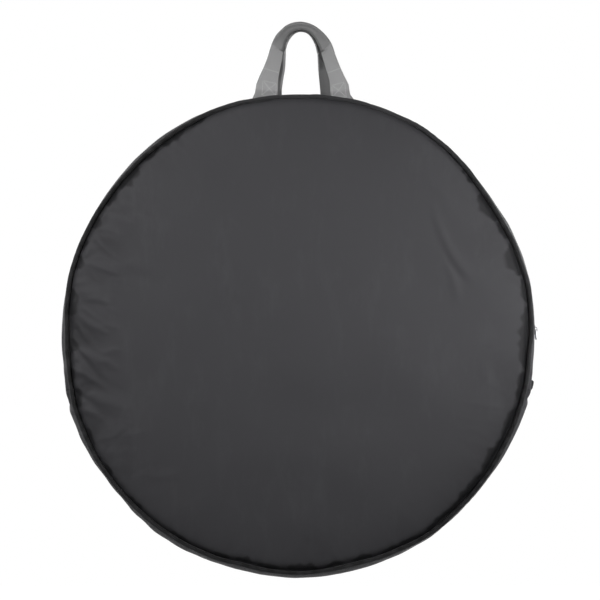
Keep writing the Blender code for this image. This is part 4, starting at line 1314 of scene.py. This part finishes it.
def buildSlider():
    parts = []
    for label, top in (("outer", slider["outer"]), ("under", slider["under"])):
        parts.append(sweepPiece("slider_" + label, plateSections(top), sliderMetal))
    half = slider["bailLength"] / 2
    top = slider["bailTop"] - 0.0006
    foot = slider["outer"] - 0.0005
    turn = np.linspace(0, math.pi, 25)
    z = np.concatenate([[half - 0.0006], half * np.cos(turn) * 0.93, [-(half - 0.0006)]])
    x = np.concatenate([[foot], foot + 0.0002 + (top - foot - 0.0002) * np.sin(turn) ** 0.55, [foot]])
    line = np.stack([x, 0 * x, discZ + z], 1)
    parts.append(tubeAlong("slider_bail", line, (0.0, 1.0, 0.0), slider["bailWidth"], slider["bailThick"],
                           sliderMetal))
    post = np.stack([np.linspace(slider["under"] - 0.0006, slider["outer"] - 0.0009, 4), np.zeros(4),
                     np.full(4, discZ - slider["length"] / 2 + 0.0025)], 1)
    parts.append(tubeAlong("slider_post", post, (0.0, 1.0, 0.0), slider["postWidth"], slider["postLength"],
                           sliderMetal))
    piece = joinPieces("zip_slider_body", parts)
    settle(piece, "slider_metal", "zip_slider", "zip_slider")


def buildPull():
    halfY, corner = pull["width"] / 2 - pull["corner"], pull["corner"]
    line = []
    for y, z, quarter in ((halfY, -corner, 0.0), (-halfY, -corner, 0.5),
                          (-halfY, corner - pull["length"], 1.0), (halfY, corner - pull["length"], 1.5)):
        for t in np.linspace(quarter * math.pi, (quarter + 0.5) * math.pi, 9):
            line.append((pull["reach"], y + corner * math.cos(t), discZ + z + corner * math.sin(t)))
    piece = tubeAlong("zip_pull_wire", np.array(line), (1.0, 0.0, 0.0), 2 * pull["wire"], 2 * pull["wire"],
                      pullMetal, closed=True, sides=14)
    settle(piece, "pull_metal", "zip_pull", "zip_pull")


# Carry handles: flat webbing, folded over lengthwise and leaning together towards the grip
handle = {"webWidth": 0.0395, "webThick": 0.0016, "gripWidth": 0.0200, "gripThick": 0.0046,
          "rise": 0.1107, "gripY": 0.012, "baseY": 0.0296, "notch": (0.0727, 0.0132), "columns": 61,
          "step": 0.0015, "crease": 0.0019, "wave": 0.0007, "sunk": 0.0012, "evenRows": 22,
          "foldBelow": 0.0055, "foldAbove": 0.0060}
# Outer and inner edges of each handle seen from the front, left foot to right foot: millimetres across and up
handleEdges = {
    "front": (
        [(-79.7, -18.7), (-73.0, -2.8), (-69.1, 6.8), (-62.0, 26.2), (-53.3, 45.7), (-47.4, 61.9),
         (-43.3, 77.3), (-39.8, 84.2), (-35.4, 94.4), (-28.7, 101.7), (-22.3, 109.1), (-12.1, 114.9),
         (3.7, 117.7), (17.2, 114.9), (25.5, 111.2), (32.4, 106.5), (39.1, 100.4), (45.8, 92.8), (49.4, 88.2),
         (53.7, 80.1), (58.9, 65.1), (66.1, 45.7), (74.7, 26.2), (84.2, 6.8), (90.5, -2.8), (98.5, -18.7)],
        [(-31.7, -18.7), (-31.7, -2.8), (-31.7, 5.2), (-31.3, 23.0), (-28.6, 42.4), (-25.5, 57.0),
         (-23.6, 71.6), (-21.8, 83.0), (-18.8, 92.8), (-14.4, 99.6), (-8.0, 105.2), (-2.4, 107.5),
         (4.0, 108.3), (10.4, 107.5), (16.8, 105.2), (22.3, 100.9), (27.4, 95.1), (31.1, 87.9), (34.8, 79.8),
         (37.3, 73.3), (39.0, 61.1), (44.2, 43.2), (49.6, 24.6), (50.8, 5.2), (50.8, -2.8), (50.8, -18.7)]),
    "back": (
        [(-67.9, -13.0), (-65.4, 3.1), (-63.4, 12.6), (-55.7, 30.1), (-47.5, 49.1), (-42.3, 66.6),
         (-39.3, 82.4), (-34.8, 91.8), (-29.6, 99.7), (-22.5, 106.0), (-12.9, 111.7), (3.7, 114.9),
         (16.1, 112.7), (24.9, 108.1), (32.2, 101.8), (39.1, 93.9), (44.3, 86.0), (49.9, 74.5), (54.8, 61.8),
         (59.7, 49.1), (66.8, 30.1), (73.2, 12.6), (76.8, 3.1), (82.4, -13.0)],
        [(-25.9, -13.0), (-25.9, 3.1), (-25.9, 12.6), (-23.4, 30.1), (-20.5, 47.6), (-19.7, 65.0),
         (-19.7, 80.8), (-17.7, 88.7), (-12.6, 96.6), (-7.3, 101.9), (-1.6, 105.4), (4.3, 106.6),
         (10.4, 106.0), (16.1, 103.8), (21.2, 99.1), (25.4, 92.8), (29.0, 85.5), (31.2, 74.5), (31.4, 61.0),
         (32.2, 47.6), (33.9, 29.3), (35.5, 11.8), (35.5, 3.1), (35.5, -13.0)]),
}


def handleFrames(place, side):
    outer, inner = (np.array(edge) / 1000 for edge in handleEdges[place])
    middle = (outer + inner) / 2
    steps = np.concatenate([[0], np.cumsum(np.linalg.norm(np.diff(middle, axis=0), axis=1))])
    even = np.linspace(0, steps[-1], int(steps[-1] / handle["step"]))
    outer = np.stack([np.interp(even, steps, outer[:, k]) for k in (0, 1)], 1)
    inner = np.stack([np.interp(even, steps, inner[:, k]) for k in (0, 1)], 1)
    for smoothing in range(9):
        for edge in (outer, inner):
            edge[1:-1] = (edge[:-2] + 2 * edge[1:-1] + edge[2:]) / 4
    middle, inward = (outer + inner) / 2, inner - outer
    tangent = np.gradient(middle, axis=0)
    tangent /= np.linalg.norm(tangent, axis=1)[:, None]
    seen = tangent[:, 1] * inward[:, 0] - tangent[:, 0] * inward[:, 1]     # breadth across the way it runs
    wide = np.clip(seen, handle["gripWidth"], handle["webWidth"])
    roll = np.arccos(np.clip(seen / wide, -1, 1))
    for smoothing in range(6):
        roll[1:-1] = (roll[:-2] + 2 * roll[1:-1] + roll[2:]) / 4
    frames = []
    for (x, up), (tx, tz), w, lean in zip(middle, tangent, wide, roll):
        y = side * (handle["baseY"] + (handle["gripY"] - handle["baseY"]) * min(1.0, up / handle["rise"]))
        along = np.array([tx, 0, tz])
        across = np.array([tz, 0, -tx]) * math.cos(lean) + np.array([0, -side * math.sin(lean), 0])
        fold = (handle["webWidth"] - w) / (handle["webWidth"] - handle["gripWidth"])
        here = np.array([x, y, discZ + gussetReach + up])
        frames.append((here, along, across, np.cross(along, across), fold, up))
    return frames


def webSection(fold):
    # the webbing's middle line across its width, inward and towards the outer face; its outer edge turns back
    full, grip = handle["webWidth"], handle["gripWidth"]
    wide = full + (grip - full) * fold
    depth = (handle["gripThick"] - handle["webThick"]) / 2 * min(1.0, fold * 4)
    q = np.linspace(0, full, handle["columns"])
    hinge = wide - 0.25 * math.pi * depth
    bend = np.clip((q - hinge) / max(math.pi * depth, 1e-9), 0, 1)
    turned = q > hinge + math.pi * depth
    a = np.where(q < hinge, wide / 2 - q, wide / 2 - hinge - depth * np.sin(bend * math.pi) * 0.75)
    a = np.where(turned, -wide / 2 + (q - hinge - math.pi * depth) + 0.25 * math.pi * depth, a)
    return a, depth * np.cos(bend * math.pi)


def trimFeet(rows):
    # each thread of the webbing starts where it meets the gusset, and the first rows spread evenly from there
    foot, even = gussetReach - handle["sunk"], handle["evenRows"]
    for flip in (1, -1):
        part = rows[::flip]
        for column in range(part.shape[1]):
            line = part[:, column]
            reach = np.hypot(line[:, 0], line[:, 2] - discZ)
            k = int(np.argmax(reach > foot))
            t = (foot - reach[k - 1]) / (reach[k] - reach[k - 1])
            start = line[k - 1] + (line[k] - line[k - 1]) * t
            line[:even] = start + (line[even] - start) * (np.arange(even) / even)[:, None]
    return rows


# Stitched box on each leg, in metres up from its foot and shares of its width, and the bar below the grip
legSeam = {"low": 0.0030, "high": 0.0235, "left": 0.07, "right": 0.62, "leftBar": 0.0420, "rightBar": 0.0445,
           "barFrom": 0.03, "barLength": 0.62, "steps": 40, "pitch": 0.0026}


def handleStitches(place, side, rows):
    # a box with a cross holds each leg's doubled end, and a bar closes the fold below the grip
    columns = handle["columns"]
    seams = []
    for flip, bar in ((1, legSeam["leftBar"]), (-1, legSeam["rightBar"])):
        part = rows[::flip]
        rise = np.hypot(part[:, columns // 3, 0], part[:, columns // 3, 2] - discZ) - gussetReach

        def seam(track):
            line, out = [], []
            for up, share in track:
                k = float(np.interp(up, rise[:len(rise) // 2], np.arange(len(rise) // 2)))
                j, c = int(k), share * (columns - 1)
                i = int(c)
                onward, aside = part[j + 1, i] - part[j, i], part[j, i + 1] - part[j, i]
                line.append(part[j, i] + onward * (k - j) + aside * (c - i))
                out.append(np.cross(aside, onward))
            out = np.array(out)
            out /= np.linalg.norm(out, axis=1)[:, None]
            out *= np.sign(out[:, 1:2] * side)
            seams.append((np.array(line), out))

        low, high, left, right = (legSeam[key] for key in ("low", "high", "left", "right"))
        t = np.linspace(0, 1, legSeam["steps"])
        for first, last in (((low, left), (low, right)), ((high, left), (high, right)),
                            ((low, left), (high, left)), ((low, right), (high, right)),
                            ((low, left), (high, right)), ((low, right), (high, left))):
            seam([(first[0] + (last[0] - first[0]) * k, first[1] + (last[1] - first[1]) * k) for k in t])
        seam([(bar, legSeam["barFrom"] + legSeam["barLength"] * k) for k in t])
    return stitchRows(place + "_handle_stitches", seams, threadGrey, legSeam["pitch"])


# Painted shade and highlights on the webbing: how dark each place is, and how much of it the painted
# highlights take off
handleShade = {"foot": 0.28, "leg": 0.07, "grip": 0.35, "lip": 0.36, "crown": 0.07, "light": 0.9,
               "line": 0.55, "inside": 0.78, "deep": 0.22, "selvedge": 0.88}


def outerShade(up, a, slant, side):
    # painted shade: the legs darken at their foot and a little higher up, the turned-over front grip all
    # along, most beside the opening, with a painted highlight along the top of the grip and a painted dark
    # line along the slanting crease
    foot = handleShade["foot"] * (1 - smoothStep(up, -0.002, 0.007))
    foot = foot + handleShade["leg"] * smoothStep(up, 0.02, 0.075)
    turned = smoothStep(slant, -0.0006, 0.0012) * (side < 0)
    lip = smoothStep(a, 0.0050, 0.0075)
    crown = smoothStep(up, 0.096, 0.108)
    light = crown * np.exp(-((a + 0.0005) / 0.0035) ** 2)
    grip = (handleShade["grip"] + handleShade["lip"] * lip + handleShade["crown"] * crown)
    grip = grip * (1 - handleShade["light"] * light)
    line = handleShade["line"] * np.exp(-(slant / 0.0011) ** 2) * smoothStep(a, 0.001, 0.006) * (side < 0)
    return np.clip(foot * (1 - turned) + grip * turned + line, 0, 1)


def innerShade(up, edge, right):
    # the webbing's dark back, with a painted highlight along the opening's edge and the deepest painted shade
    # beside it, where the front handle's edge casts its shadow
    selvedge = (1 - smoothStep(edge, 0.0026, 0.0038)) * smoothStep(up, 0.010, 0.030)
    selvedge = selvedge * (1 - 0.4 * smoothStep(up, 0.100, 0.108))
    if right:
        selvedge = selvedge * (1 - smoothStep(edge, 0.0014, 0.0024)) * smoothStep(up, 0.040, 0.060)
        deep = np.exp(-(np.maximum(edge - 0.0060, 0) / 0.0040) ** 2) * smoothStep(up, 0.044, 0.054) * (
            1 - smoothStep(up, 0.083, 0.090))
    else:
        deep = np.exp(-((edge - 0.0062) / 0.0026) ** 2) * (
            smoothStep(up, 0.028, 0.040) * (1 - smoothStep(up, 0.058, 0.066))
            + smoothStep(up, 0.082, 0.090) * (1 - smoothStep(up, 0.100, 0.106)))
    return (np.clip(handleShade["inside"] + handleShade["deep"] * deep, 0, 1)
            * (1 - handleShade["selvedge"] * selvedge))


def buildHandle(place, side):
    frames = handleFrames(place, side)
    half, columns = handle["webThick"] / 2, handle["columns"]
    rng = np.random.default_rng(201 + side)
    q = np.linspace(0, 1, columns)
    thin = half * (1 - 0.35 * np.abs(2 * q - 1) ** 16)
    rows, shades = [], []
    for middle, along, across, through, fold, up in frames:
        a, b = webSection(fold)
        slope = np.stack([np.gradient(a), np.gradient(b)], 1)
        slope /= np.maximum(np.linalg.norm(slope, axis=1)[:, None], 1e-12)
        normal = np.stack([slope[:, 1], -slope[:, 0]], 1)
        # the slanting crease where the flat leg turns into the leaning grip
        slant = up - handle["notch"][0] - handle["notch"][1] * q
        b = b - handle["crease"] * np.exp(-(slant / 0.0016) ** 2) * (1 - smoothStep(q, 0.24, 0.36))
        wave = np.sin(2 * math.pi * q * 1.3 + up * 90 + rng.uniform(-0.02, 0.02))
        b = b + handle["wave"] * wave * smoothStep(up, 0.0, 0.03)
        outer = np.stack([a, b], 1) + normal * thin[:, None]
        inner = np.stack([a, b], 1) - normal * thin[:, None]
        loop = np.concatenate([outer, inner[::-1]])
        rows.append(middle + loop[:, :1] * across + loop[:, 1:] * side * through)
        inside = innerShade(up, np.max(a) - a, middle[0] > 0.004)
        outside = outerShade(up, a, slant, side)
        outside = np.where((b < 0) & (side > 0), inside, outside)     # the back handle's turned-over face takes the dark back's tone: painted shade where it lies behind the front handle
        shades.append(np.concatenate([outside, inside[::-1]]))
    rows = trimFeet(np.array(rows))
    along = np.concatenate([[0], np.cumsum(np.linalg.norm(np.diff(rows[:, columns // 3], axis=0), axis=1))])
    width = handle["webWidth"] * np.concatenate([q, 1.05 + q, [2.1]])
    cuts = np.stack(np.broadcast_arrays(along[:, None], width[None]), 2)
    piece = gridPiece(place + "_handle_webbing", rows, cuts, webbing, closeColumns=True)
    mapShade(piece, np.zeros(rows[..., 0].size), np.array(shades).ravel())
    tidyNormals(piece, True)
    thread = handleStitches(place, side, rows)
    for part in (piece, thread):
        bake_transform(part)
    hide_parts(place + "_handle")


for place, side, body, rider in sides:
    draped[side] = drapeCloth(side)
for place, side, body, rider in sides:
    buildPanel(place, side, body)
    buildPadding(place, side, body)
    buildLining(place, side, body)
    buildHubPatch(place, side, rider)
    buildPiping(place, side, body)
    buildBinding(place, side, body)
    buildZipGusset(place, side, rider)
    buildZipTape(place, side, rider)
    buildZipTeeth(place, side, rider)
    buildHandle(place, side)
    print(place, "side")
buildLowerRim()
buildEndTab("left", -1)
buildEndTab("right", 1)
buildSlider()
buildPull()
print("rim, tabs, slider and pull")
